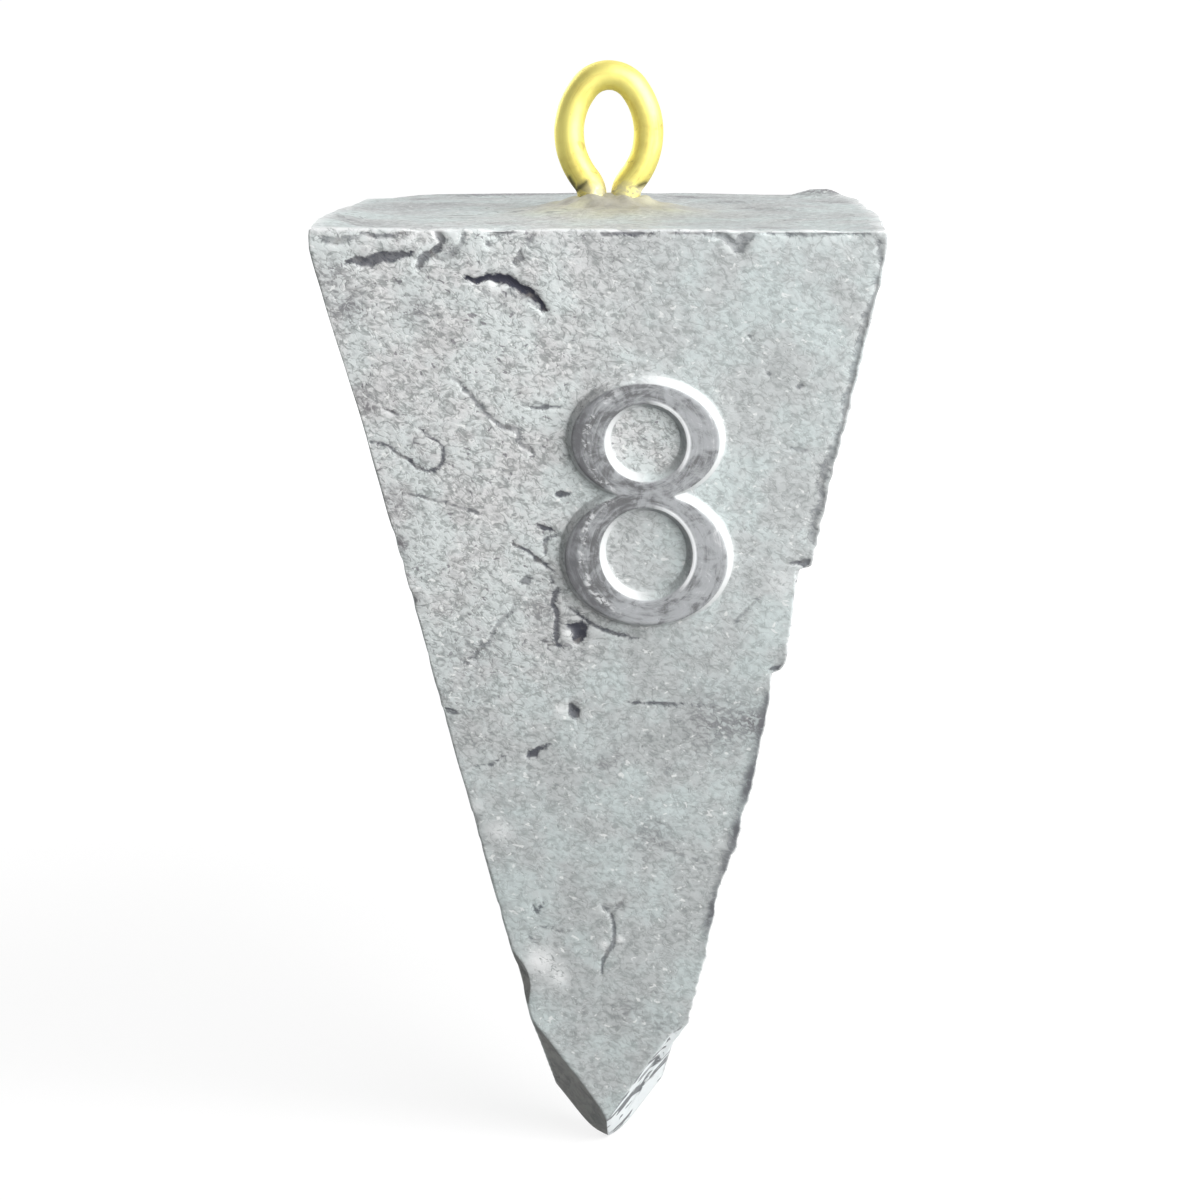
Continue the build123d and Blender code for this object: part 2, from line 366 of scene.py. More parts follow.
def smooth_step(low, high, value):
    """0 below low, 1 above high, and a smooth rise between them; low may be the larger."""
    share = np.clip((value - low) / (high - low), 0, 1)
    return share * share * (3 - 2 * share)


def lumps(points, wavelength, seed):
    """Smooth noise from -1 to 1 at each point, with bumps about one wavelength apart."""
    start = Vector((seed * 17.3, seed * -9.1, seed * 5.7))
    heights = [noise.noise(Vector(point) / wavelength + start) for point in points.reshape(-1, 3)]
    return np.array(heights).reshape(points.shape[:-1])


def oval_distance(across, down, middle, half_width, half_height):
    """About how far a place lies outside an oval on the figure's middle line."""
    x = across - FIGURE_ACROSS
    y = down - middle
    reach = np.hypot(x / half_width, y / half_height) + 1e-6
    slope = np.hypot(x / half_width**2, y / half_height**2) / reach + 1e-6
    return (reach - 1) / slope


def bowls_distance(across, down):
    """Distance outside the figure's two bowls, which run together at its waist."""
    upper = oval_distance(across, down, *UPPER_BOWL)
    lower = oval_distance(across, down, *LOWER_BOWL)
    inside = np.hypot(np.minimum(upper, 0), np.minimum(lower, 0))
    return np.where(inside > 0, -inside, np.minimum(upper, lower))


def counter_distance(across, down):
    """Distance outside the figure's two counters, measured where their walls meet the face."""
    return np.min([oval_distance(across, down, *oval) for oval in (UPPER_COUNTER, LOWER_COUNTER)], axis=0)


def stroke_distance(across, down):
    """Distance inside the figure's stroke, measured where its walls meet the face; negative outside."""
    return np.minimum(-bowls_distance(across, down), counter_distance(across, down))


def bowl_direction(across, down):
    """Direction from the middle of the nearer bowl of the figure, right and down."""
    x = across - FIGURE_ACROSS
    y = down - np.where(down < WAIST_DOWN, UPPER_BOWL[0], LOWER_BOWL[0])
    reach = np.hypot(x, y) + 1e-6
    return x / reach, y / reach


def line_distance(across, down, line):
    """Distance to a line of points, and how far along the line that is, from 0 to 1."""
    points = np.array(line)
    steps = np.diff(points, axis=0)
    lengths = np.hypot(steps[:, 0], steps[:, 1])
    best = np.full(across.shape, 1e6)
    along = np.zeros(across.shape)
    travelled = 0.0
    for start, step, length in zip(points, steps, lengths):
        x = across - start[0]
        y = down - start[1]
        share = np.clip((x * step[0] + y * step[1]) / length**2, 0, 1)
        gap = np.hypot(x - share * step[0], y - share * step[1])
        nearer = gap < best
        best = np.where(nearer, gap, best)
        along = np.where(nearer, (travelled + share * length) / lengths.sum(), along)
        travelled += length
    return best, along


class Marked(NamedTuple):
    """What the marks do at each place: depth, gap to the nearest mark's edge, and that mark's darkness."""

    depth: np.ndarray
    gap: np.ndarray
    tone: np.ndarray


def mark_face(across, down):
    """Depth and grime of all the marks of the front face."""
    depth = np.zeros(across.shape)
    gap = np.full(across.shape, 1.0)
    tone = np.zeros(across.shape)
    place = np.stack([across, down, 0 * down], axis=-1)
    shift = np.stack([lumps(place, 0.9, 41) + 0.6 * lumps(place, 0.35, 42),
                      lumps(place, 0.9, 43) + 0.6 * lumps(place, 0.35, 44)])
    for mark in MARKS:
        ragged = shift * min(0.22, 0.55 * mark.width)
        distance, along = line_distance(across + ragged[0], down + ragged[1], mark.line)
        half = mark.width / 2 * (0.4 + 0.6 * np.sin(pi * np.clip(along, 0.02, 0.98)) ** 0.5)
        depth += mark.depth * np.exp(-((distance / np.maximum(half, 0.14)) ** 2))
        edge = distance - half
        nearer = edge < gap
        gap = np.where(nearer, edge, gap)
        tone = np.where(nearer, mark.tone, tone)
    return Marked(depth, gap, tone)


def patch_strength(across, down, patches):
    """Sum of the soft patches at each place."""
    total = np.zeros(across.shape)
    for patch in patches:
        gap = (across - patch.across) ** 2 + (down - patch.down) ** 2
        total += patch.strength * np.exp(-(gap / patch.reach**2))
    return np.clip(total, 0, 1)


# Lead weight

# Shares of a side's half-width: where the corners begin, on the front and on the other sides, and the
# span of the figure
FRONT_CORNER = 0.97
FAR_CORNER = 0.92
FIGURE_LEFT = -0.22
FIGURE_RIGHT = 0.66

# Millimetres: the first row's half-width, the round part of the top, where the rows of the figure and the
# tip begin and end, the last row above the tip, the wear of the back corners, and how softly the facets
# meet the faces
FIRST_ROW = 0.3
COLLAR_REACH = 4.6
FIGURE_TOP = 7.4
FIGURE_FOOT = 23.3
TIP_START = 44
LAST_ROW = 0.12
CORNER_WEAR_REACH = 10.0
BACK_LEFT_WEAR = 3.2
BACK_RIGHT_WEAR = 3.4
FACET_SOFTNESS = 0.02

# Millimetres: lumps of the whole skin as (height, wavelength, seed), and how far the casting strays
# from a plain pyramid at its top
SKIN_LUMPS = ((0.08, 8.0, 1), (0.03, 2.1, 2))
CORNER_SAG = 0.35
BACK_SWELL = 0.18
LIP_HEIGHT = 0.16
LEFT_LIP_HEIGHT = 0.24
BURR_HEIGHT = 0.34
RIGHT_PRESSED_IN = 0.75
LEFT_SPREAD = 0.2

# Counts of columns: on the front at each corner, left of the figure, on it and right of it, and on each
# other side at its corners and between them
FRONT_CORNER_COLUMNS = 7
LEFT_COLUMNS = 77
FIGURE_COLUMNS = 83
RIGHT_COLUMNS = 21
FAR_CORNER_COLUMNS = 6
FAR_COLUMNS = 20

# Counts of rows: collar, flat of the top, rounded rim, and the long faces above the figure, on it, below
# it and at the tip
COLLAR_ROWS = 20
FLAT_ROWS = 16
RIM_ROWS = 7
UPPER_ROWS = 44
FIGURE_ROWS = 134
LOWER_ROWS = 80
TIP_ROWS = 58

# Counts of nicks in the rim and the long corners, and of dents in the far faces
RIM_NICKS = 46
CORNER_NICKS = 40
FAR_DENTS = 42
# Depth of the rim's nicks on the front, right, back and left, as a share
RIM_NICK_SHARES = (1, 0.5, 0.3, 0.3)


class LeadGrid:
    """Rows of points from the middle of the top out to the rim and down to the tip, in columns round it."""

    FRONT, RIGHT, BACK, LEFT = range(4)

    def __init__(self, size):
        self.facet_corner = size.facet_corner / MM
        self.facet_face = size.facet_face / MM
        self.edge_radius = size.edge_radius / MM
        self.collar_height = size.collar_height / MM
        self.figure_raise = size.figure_raise / MM
        self.top_z = LEAD_HIGH.z - self.collar_height
        self.tip_z = LEAD_LOW.z
        self.height = self.top_z - self.tip_z
        self.half_tip = size.tip_width / MM / 2
        self.half_top = size.top_width / MM / 2
        self.lean = (self.half_top - self.half_tip) / self.height
        self.tilt = atan2(self.lean, 1)
        self.lay_columns()
        self.lay_rows()
        self.on_top = (self.level == self.top_z)[:, None]
        self.place_points()

    def lay_columns(self):
        """Directions round a square, close together at its corners, with most of them on the front."""
        corner = np.linspace(FRONT_CORNER, 1, FRONT_CORNER_COLUMNS)
        front = np.concatenate([
            -corner[::-1],
            np.linspace(-FRONT_CORNER, FIGURE_LEFT, LEFT_COLUMNS)[1:-1],
            np.linspace(FIGURE_LEFT, FIGURE_RIGHT, FIGURE_COLUMNS),
            np.linspace(FIGURE_RIGHT, FRONT_CORNER, RIGHT_COLUMNS)[1:-1],
            corner,
        ])
        corner = np.linspace(FAR_CORNER, 1, FAR_CORNER_COLUMNS)
        between = np.linspace(-FAR_CORNER, FAR_CORNER, FAR_COLUMNS)[1:-1]
        other = np.concatenate([-corner[::-1], between, corner])
        sides = [front[:-1], other[:-1], other[:-1], other[:-1]]
        self.place = np.concatenate(sides)
        self.side = np.concatenate([np.full(len(line), number) for number, line in enumerate(sides)])

    def lay_rows(self):
        """Half-width and level of each row: the top, the rounded rim and the long faces."""
        radius = self.edge_radius
        rim_half = self.half_top - radius * (self.lean + 1 / cos(self.tilt))
        collar = np.linspace(FIRST_ROW, COLLAR_REACH, COLLAR_ROWS)
        flat = np.linspace(COLLAR_REACH, rim_half, FLAT_ROWS)[1:]
        turn = np.linspace(pi / 2, -self.tilt, RIM_ROWS)[1:]
        rim = rim_half + radius * np.cos(turn)
        rim_z = self.top_z - radius + radius * np.sin(turn)
        first = (self.top_z - rim_z[-1]) / cos(self.tilt)
        last = self.height / cos(self.tilt) - LAST_ROW
        down = np.concatenate([
            np.linspace(first, FIGURE_TOP, UPPER_ROWS)[1:],
            np.linspace(FIGURE_TOP, FIGURE_FOOT, FIGURE_ROWS)[1:],
            np.linspace(FIGURE_FOOT, TIP_START, LOWER_ROWS)[1:],
            np.linspace(TIP_START, last, TIP_ROWS)[1:],
        ])
        face_z = self.top_z - down * cos(self.tilt)
        face = self.half_top - self.lean * (self.top_z - face_z)
        top = np.concatenate([collar, flat])
        self.half = np.concatenate([top, rim, face])
        self.level = np.concatenate([np.full(len(top), self.top_z), rim_z, face_z])
        self.down = np.concatenate([top - rim_half, (self.top_z - rim_z) / cos(self.tilt), down])

    def corner_radius(self):
        """Rounding of the long corners at each row: front right, back right, back left and front left."""
        radii = []
        for corner in range(4):
            line = np.stack([self.down, 0 * self.down + 7.0 * corner, 0 * self.down], axis=-1)
            radii.append(self.edge_radius * (1.0 + 0.5 * lumps(line, 2.5, corner + 1)))
        front_right, back_right, back_left, front_left = radii
        worn = smooth_step(CORNER_WEAR_REACH, 0.0, self.down)
        back_left += BACK_LEFT_WEAR * worn
        back_right += BACK_RIGHT_WEAR * worn
        back_right += 0.3 * smooth_step(30.0, 34.0, self.down) * smooth_step(40.0, 37.0, self.down)
        return [radius[:, None] for radius in (front_right * 0.6, back_right, back_left, front_left)]

    def round_corners(self, half, place):
        """Places along each side and out from it, with rounded corners, and round rows at the collar."""
        front_right, back_right, back_left, front_left = self.corner_radius()
        ends = ((front_left, front_right), (front_right, back_right), (back_right, back_left),
                (back_left, front_left))
        sideways = half * place
        outward = half + 0 * place
        for side, (first, last) in enumerate(ends):
            radius = np.minimum(np.where(place < 0, first, last), half * 0.5)
            over = np.abs(sideways) - (half - radius)
            turn = np.clip(over / radius, 0, 1) * pi / 4
            rounded = (self.side == side)[None, :] & (over > 0)
            sideways = np.where(rounded, np.sign(place) * (half - radius + radius * np.sin(turn)), sideways)
            outward = np.where(rounded, half - radius + radius * np.cos(turn), outward)
        round_share = smooth_step(10.0, COLLAR_REACH, half) * self.on_top
        shrink = 1 + (half / np.hypot(half * place, half) - 1) * round_share
        return sideways * shrink, outward * shrink

    def cut_facets(self, x, y, z):
        """Places drawn in to the tip's four swollen facets, and a share for their painted light: 1 on the
        right ones, for a painted highlight, and -1 on the left, for painted shade.
        """
        rise = z - self.tip_z
        left = smooth_step(0.5, -0.5, x)
        back = self.facet_face / (self.half_tip + self.lean * self.facet_face)
        across = self.facet_corner / (self.half_tip + self.lean * self.facet_corner) - back
        back = back * (1.13 + 0.17 * left)
        across = across * (0.95 - 0.07 * left)
        swell = (0.7 + 0.1 * left) * (1 - np.exp(-rise / 0.4)) * np.exp(-rise / 3.5)
        ratio = (rise + swell) / (across * np.abs(x) + back * np.abs(y))
        blend = np.clip(0.5 + (ratio - 1) / (2 * FACET_SOFTNESS), 0, 1)
        shrink = ratio + (1 - ratio) * blend - FACET_SOFTNESS * blend * (1 - blend)
        lower = z < self.top_z - 30
        shrink = np.where(lower, shrink, 1)
        return x * shrink, y * shrink, np.sign(x) * smooth_step(1.01, 0.97, ratio) * lower

    def place_points(self):
        """Base points, before dents and lumps, with a chip off the front left corner above the tip, whose
        bevel is given painted shade.
        """
        half = self.half[:, None]
        sideways, outward = self.round_corners(half, self.place[None, :])
        x = np.choose(self.side, [sideways, outward, -sideways, -outward])
        y = np.choose(self.side, [-outward, sideways, outward, -sideways])
        z = self.level[:, None] + 0 * x
        x, y, facet_light = self.cut_facets(x, y, z)
        chip = 0.6 * smooth_step(42.4, 44.4, self.down) * smooth_step(47.2, 44.8, self.down)
        over = np.maximum(-x - y - 2 * half + chip[:, None], 0)
        facet_light = np.where(over > 0, -smooth_step(0.0, 0.08, over), facet_light)
        # The facets behind get less of this painted light and shade.
        self.facet_light = facet_light * (1 - 0.65 * smooth_step(-0.2, 0.4, y))
        self.points = np.stack([x + over / 2, y + over / 2, z], axis=-1)

    def normals(self):
        """Outward direction at each point of the grid."""
        round_it = np.roll(self.points, -1, axis=1) - np.roll(self.points, 1, axis=1)
        down_it = np.gradient(self.points, axis=0)
        outward = np.cross(down_it, round_it)
        return outward / (np.linalg.norm(outward, axis=-1, keepdims=True) + 1e-9)

    def on_side(self, side, share=1.0):
        """A value on one side of the lead and 0 on the others."""
        return np.where(self.side == side, share, 0)[None, :]

    def face_half(self, z):
        """Half-width of the long faces at a level."""
        return self.half_top - self.lean * (self.top_z - z)


def corner_point(grid, down, right):
    """A point of a front long corner, so far down from the rim."""
    z = grid.top_z - down * cos(grid.tilt)
    half = grid.face_half(z)
    return np.array([half if right else -half, -half, z])


def bite(points, middle, reach):
    """1 at the middle of a bite, falling to 0 about two reaches away."""
    return np.exp(-(((points - middle) ** 2).sum(axis=-1)) / reach**2)


def edge_nicks(grid):
    """Depth of the nicks in the rim and the long corners."""
    depth = np.zeros(grid.points.shape[:-1])
    for number, down in enumerate(LEFT_NICKS):
        depth += (0.07 + 0.04 * (number % 3)) * bite(grid.points, corner_point(grid, down, False), 0.3)
    for number, down in enumerate(RIGHT_NICKS):
        depth += (0.05 + 0.04 * (number % 2)) * bite(grid.points, corner_point(grid, down, True), 0.4)
    draw = np.random.default_rng(8)
    for _ in range(RIM_NICKS):
        around = draw.uniform(-1, 1) * grid.half_top
        side = draw.integers(0, 4)
        reach = draw.uniform(0.35, 1.1)
        quarter = side * pi / 2
        x = around * cos(quarter) + grid.half_top * sin(quarter)
        y = around * sin(quarter) - grid.half_top * cos(quarter)
        deepest = RIM_NICK_SHARES[side] * draw.uniform(0.05, 0.2)
        depth += deepest * bite(grid.points, (x, y, grid.top_z), reach)
    for _ in range(CORNER_NICKS):
        down = draw.uniform(1, 47)
        point = corner_point(grid, down, draw.random() < 0.5)
        behind = draw.random() < 0.7
        point[1] *= -1 if behind else 1
        reach = draw.uniform(0.4, 1.0) if behind else draw.uniform(0.2, 0.4)
        depth += draw.uniform(0.08, 0.22) * reach * bite(grid.points, point, reach)
    return depth


def far_dents(grid):
    """Depth of the dents in the three faces other than the front."""
    draw = np.random.default_rng(21)
    depth = np.zeros(grid.points.shape[:-1])
    for _ in range(FAR_DENTS):
        side = draw.integers(1, 4)
        z = grid.top_z - draw.uniform(2, 44)
        half = grid.face_half(z)
        across = draw.uniform(-0.85, 0.85) * half
        middle = ((half, across), (across, half), (-half, across))[side - 1] + (z,)
        depth += draw.uniform(0.06, 0.28) * bite(grid.points, middle, draw.uniform(0.7, 2.2))
    return depth


def collar_rise(grid):
    """Height of the lead that is drawn up round the wire, with the blobs at the feet of the legs."""
    x = grid.points[..., 0]
    y = grid.points[..., 1]
    out = np.hypot(x, y)
    wobble = 0.4 * lumps(grid.points, 1.6, 12)
    apron = smooth_step(6.5, 2.2, out + wobble)
    sleeve = smooth_step(2.9, 1.9, out + wobble)
    rise = grid.collar_height * (0.4 * apron + 0.24 * sleeve)
    for blob in FOOT_BLOBS:
        gap = (x - blob.across) ** 2 + (y - blob.down) ** 2
        rise += blob.strength * np.exp(-gap / blob.reach**2)
    return rise * (out < 7) + 0.13 * lumps(grid.points, 0.8, 14) * smooth_step(6.0, 2.0, out)


def top_rise(grid, down):
    """Height of the top above its plane: collar, sagging corner, swollen back, lip of the rim and burrs."""
    x = grid.points[..., 0]
    y = grid.points[..., 1]
    rise = collar_rise(grid) * grid.on_top
    rise -= CORNER_SAG * bite(grid.points, (-grid.half_top, grid.half_top, grid.top_z), 2.2)
    rise += BACK_SWELL * np.exp(-((x / 7.5) ** 2)) * smooth_step(5, 13, y) * smooth_step(2.0, 0.2, down)
    lip = smooth_step(-3.0, 0.0, down) * smooth_step(2.5, 0.2, down) * smooth_step(8, -6, y)
    at_left = smooth_step(-11, -15, x) * smooth_step(-15.2, -11, y)
    rise += lip * (LIP_HEIGHT + LEFT_LIP_HEIGHT * at_left)
    for burr in TOP_BURRS:
        rise += BURR_HEIGHT * bite(grid.points, (*burr, grid.top_z), 1.1)
    return rise


class FrontFace:
    """The grid's places on the front face, with what the figure, the marks and the flash do there."""

    def __init__(self, grid):
        self.across = grid.points[..., 0]
        self.down = grid.down[:, None] + 0 * grid.place[None, :]
        self.weight = grid.on_side(grid.FRONT, smooth_step(1.0, 0.985, np.abs(grid.place)))
        self.on_face = self.weight * (self.down > -0.6)
        self.marked = mark_face(self.across, self.down)
        self.stroke = stroke_distance(self.across, self.down)
        self.lay_flash(grid)

    def lay_flash(self, grid):
        """How far the flash stands out at the right corner, and a share that is 1 at its outermost edge,
        where a painted highlight goes.
        """
        crumbs = lumps(np.stack([self.down, 0 * self.down, 0 * self.down], axis=-1)[:, :1], 0.55, 3)
        flash = np.interp(self.down, *zip(*FLASH)) * (1 + 0.25 * crumbs)
        flash = flash + 0.07 * np.maximum(crumbs, 0) * smooth_step(27, 36, self.down)
        ahead = grid.on_side(grid.FRONT, smooth_step(0.93, 1.0, grid.place))
        beside = grid.on_side(grid.RIGHT, smooth_step(-0.95, -1.0, grid.place) ** 2)
        self.flash = flash * (ahead + beside) * (self.down > 0.3)
        self.flash_highlight_share = smooth_step(0.92, 0.97, ahead) + beside


def lead_points(grid, face):
    """Points of the lead, with its figure, marks, nicks, dents, flash and worn top."""
    down = face.down
    wall = np.clip(face.stroke / FIGURE_DRAFT, 0, 1)
    relief = grid.figure_raise * (0.85 * wall + 0.15 * smooth_step(0, 1, wall))
    rise = face.on_face * (relief - face.marked.depth)
    rise = rise - edge_nicks(grid) - far_dents(grid)
    rise += sum(height * lumps(grid.points, wavelength, seed) for height, wavelength, seed in SKIN_LUMPS)
    rough_share = face.on_face * (1 - 0.7 * smooth_step(0.2, 0.5, face.stroke))
    rise += 0.02 * lumps(grid.points, 0.6, 4) * rough_share
    keep_inside = smooth_step(0.0, 1.2, np.abs(down)) * 0.9 + 0.1
    rise = np.where(rise > 0, rise * keep_inside, rise)

    points = grid.points + rise[..., None] * grid.normals()
    left_edge = grid.on_side(grid.FRONT, smooth_step(-0.93, -1.0, grid.place))
    left_edge = left_edge + grid.on_side(grid.LEFT, smooth_step(0.95, 1.0, grid.place) ** 2)
    pressed_in = smooth_step(-8, 14, grid.points[..., 1]) * smooth_step(4, 15, face.across)
    points[..., 0] += face.flash
    points[..., 0] -= LEFT_SPREAD * smooth_step(13, 5, down) * left_edge * (down > 0.3)
    points[..., 0] -= RIGHT_PRESSED_IN * pressed_in * smooth_step(16, 0, down)
    points[..., 2] += top_rise(grid, down)
    for axis, limit in enumerate((LEAD_HIGH.x, LEAD_HIGH.y)):
        points[..., axis] = np.clip(points[..., axis], -limit, limit)
    points[..., 2] = np.maximum(points[..., 2], grid.tip_z + 0.02)
    return points


def lead_values(grid, face):
    """What the lead's material reads at each point."""
    across = face.across
    down = face.down
    on_face = face.on_face
    deep = grid.points[..., 1]
    front_side = grid.on_side(grid.FRONT)
    ring_x, ring_z = bowl_direction(across, down)
    counter_gap = counter_distance(across, down)
    inner = counter_gap < -bowls_distance(across, down)
    in_counter = smooth_step(0.1, -0.1, counter_gap) * (down < WAIST_DOWN)
    # A painted highlight line along the rim, kept off the back rim, which gets a painted shade band
    rim = np.exp(-((grid.down[:, None] - 0.05) / 0.12) ** 2) * (0.6 + 0.5 * lumps(grid.points, 1.1, 5))
    back_rim_shade = np.exp(-((grid.down[:, None] + 0.1) / 0.3) ** 2) * grid.on_side(grid.BACK)
    band_gap, band_along = line_distance(across, down, EDGE_BAND)
    band = np.exp(-((band_gap / 0.13) ** 2)) * (0.85 + 0.7 * lumps(grid.points, 1.4, 51))
    band = band * smooth_step(1.0, 0.8, band_along)
    bruises = patch_strength(across, down, BRUISES) * on_face
    sheen_highlights = patch_strength(across, down, SHEEN_HIGHLIGHTS) * on_face
    top_spots = patch_strength(across, deep, TOP_SPOTS) * grid.on_top
    flash_highlight = np.clip(face.flash / 0.3, 0, 1)
    pale_side = smooth_step(5.0, -5.0, across + 0.1 * (down - 10)) * smooth_step(36, 20, down)
    flaky = np.where(face.weight > 0, 0.25 + 0.75 * np.maximum(pale_side, in_counter), 0.5)
    out = np.hypot(across, deep)
    return {
        "stroke": np.where(on_face > 0.5, np.clip(face.stroke, -1, 1), -1.0),
        "ring_x": ring_x,
        "ring_z": ring_z,
        # Which way each wall of the figure faces the light, for its painted highlight and painted shade
        "facing": (0.94 * ring_x - 0.34 * ring_z) * np.where(inner, -1, 1),
        "inner": inner * 1.0,
        "counter_gap": np.clip(counter_gap, -1, 4),
        "mark_gap": np.where(on_face > 0.3, np.clip(face.marked.gap, -0.5, 1), 1.0),
        "mark_tone": face.marked.tone,
        # Bruises and dark spots of the top, and a painted shade band along the back rim
        "bruise_and_shade": np.clip(bruises + top_spots + 0.8 * back_rim_shade, 0, 1),
        "edge_band_dark": np.clip(band, 0, 1) * front_side,
        # Painted highlights on the rim, the bright spots and the flash's outer edge
        "sheen": np.clip(sheen_highlights + rim * (1 - back_rim_shade), 0, 1),
        "flash": flash_highlight * face.flash_highlight_share * (0.3 + 0.7 * smooth_step(26, 29, down)),
        "facet_light": grid.facet_light,
        # Painted shade: the top and the lower part of the front face are made darker
        "worn": 0.12 * grid.on_top + 0.28 * smooth_step(17, 28, down) * face.weight,
        "collar_tint": smooth_step(7.0, 2.0, out + 0.8 * lumps(grid.points, 1.8, 15)) * grid.on_top,
        "far_side": np.where(grid.on_top, 0.6, 1.0 - front_side),
        "flaky": flaky * (1 - 0.5 * grid.on_top),
    }


def grid_faces(rows, columns):
    """Four-sided faces between neighbouring rows, and a fan at each end; the two end points come last."""
    faces = []
    for row in range(rows - 1):
        for column in range(columns):
            ahead = (column + 1) % columns
            faces.append((row * columns + column, (row + 1) * columns + column,
                          (row + 1) * columns + ahead, row * columns + ahead))
    first = rows * columns
    last_row = (rows - 1) * columns
    for column in range(columns):
        ahead = (column + 1) % columns
        faces.append((first, column, ahead))
        faces.append((first + 1, last_row + ahead, last_row + column))
    return faces


def add_object(name, data):
    """An object in the scene, of a mesh, a lamp or a camera."""
    item = bpy.data.objects.new(name, data)
    bpy.context.scene.collection.objects.link(item)
    return item


def write_mesh(name, points, ends, values):
    """An object from a closed grid of points in millimetres, its two end points, and its values."""
    rows, columns = points.shape[:2]
    every = np.concatenate([points.reshape(-1, 3), np.array(ends)])
    mesh = bpy.data.meshes.new(name)
    mesh.from_pydata((every * MM).tolist(), [], grid_faces(rows, columns))
    mesh.shade_smooth()
    for key, value in values.items():
        layer = mesh.attributes.new(key, "FLOAT", "POINT")
        flat = (value + np.zeros((rows, columns))).reshape(-1)
        layer.data.foreach_set("value", np.concatenate([flat, [flat[0], flat[-1]]]).astype(np.float32))
    if mesh.validate():
        raise RuntimeError(f"{name} has broken faces")
    return add_object(name, mesh)


# Materials

class Nodes:
    """Short ways to add and link the nodes of one tree."""

    # Numbers of the mix node's sockets for colours
    MIX_SHARE, MIX_FIRST, MIX_SECOND = 0, 6, 7
    MIX_RESULT = 2

    def __init__(self, tree):
        self.tree = tree

    def add(self, kind, inputs=(), **settings):
        node = self.tree.nodes.new(kind)
        for key, value in settings.items():
            setattr(node, key, value)
        for key, value in dict(inputs).items():
            self.put(node.inputs[key], value)
        return node

    def put(self, socket, value):
        """Links a socket to another one, or gives it a plain value; a colour gets full alpha."""
        if isinstance(value, bpy.types.NodeSocket):
            self.tree.links.new(value, socket)
        elif socket.type == "RGBA":
            socket.default_value = (*value, 1.0)
        else:
            socket.default_value = value

    def math(self, operation, first, second=0.0, third=0.0):
        node = self.add("ShaderNodeMath", operation=operation)
        for socket, value in zip(node.inputs, (first, second, third)):
            self.put(socket, value)
        return node.outputs[0]

    def times(self, first, *others):
        """Values multiplied together, from left to right."""
        for other in others:
            first = self.math("MULTIPLY", first, other)
        return first

    def scaled(self, value, factor, plus):
        return self.math("MULTIPLY_ADD", value, factor, plus)

    def gap(self, value, middle):
        """How far a value is from a middle one."""
        return self.math("ABSOLUTE", self.math("SUBTRACT", value, middle))

    def blend(self, share, first, second, mode="MIX"):
        """The first colour at a share of 0, and at 1 the second laid over it."""
        node = self.add("ShaderNodeMix", data_type="RGBA", blend_type=mode)
        self.put(node.inputs[self.MIX_SHARE], share)
        self.put(node.inputs[self.MIX_FIRST], first)
        self.put(node.inputs[self.MIX_SECOND], second)
        return node.outputs[self.MIX_RESULT]

    def between(self, value, low, high, out_low=0.0, out_high=1.0):
        """A smooth rise from out_low to out_high as a value goes from low to high."""
        node = self.add("ShaderNodeMapRange", {
            "Value": value, "From Min": low, "From Max": high, "To Min": out_low, "To Max": out_high,
        }, interpolation_type="SMOOTHSTEP")
        return node.outputs[0]

    def noise(self, place, scale, detail, roughness=0.5, distortion=0.0):
        node = self.add("ShaderNodeTexNoise", {
            "Vector": place, "Scale": scale, "Detail": detail, "Roughness": roughness,
            "Distortion": distortion})
        return node.outputs["Fac"]

    def turned(self, place, angle, stretch):
        """Places turned about Y by an angle in degrees, and drawn out."""
        turn = (0.0, radians(angle), 0.0)
        node = self.add("ShaderNodeMapping", {
            "Vector": place, "Rotation": turn, "Scale": stretch}, vector_type="TEXTURE")
        return node.outputs[0]

    def value(self, name):
        return self.add("ShaderNodeAttribute", attribute_name=name).outputs["Fac"]

    def object_place(self):
        return self.add("ShaderNodeTexCoord").outputs["Object"]


GRAIN_NAME = "Metal grain"


def grain_group():
    """Skin of a metal: broad mottling, small flakes, bright specks and pits, in millimetres."""
    tree = bpy.data.node_groups.new(GRAIN_NAME, "ShaderNodeTree")
    tree.interface.new_socket("Vector", in_out="INPUT", socket_type="NodeSocketVector")
    tree.interface.new_socket("Flake Size", in_out="INPUT", socket_type="NodeSocketFloat")
    for key in ("Mottle", "Flake", "Speck", "Pit"):
        tree.interface.new_socket(key, in_out="OUTPUT", socket_type="NodeSocketFloat")
    nodes = Nodes(tree)
    given = nodes.add("NodeGroupInput").outputs
    scale = nodes.math("DIVIDE", 1.0, given["Flake Size"])
    drawn_out = nodes.turned(given["Vector"], 25, (1.3, 1.0, 0.95))
    fine = nodes.noise(drawn_out, nodes.times(scale, 0.75), 3.0, 0.62, 0.5)
    wave = nodes.noise(drawn_out, nodes.times(scale, 0.42), 2.0, 0.55, 0.7)
    scraps = nodes.noise(drawn_out, nodes.times(scale, 0.7), 2.0, 0.5, 0.5)
    wrinkle = nodes.between(nodes.gap(wave, 0.5), 0.05, 0.005)
    nodes.add("NodeGroupOutput", {
        "Mottle": nodes.noise(given["Vector"], 0.28, 5.0, 0.62),
        "Flake": nodes.scaled(wrinkle, -0.15, nodes.scaled(fine, 0.9, 0.1)),
        "Speck": nodes.between(scraps, 0.64, 0.72),
        "Pit": nodes.between(scraps, 0.34, 0.29),
    })
    return tree


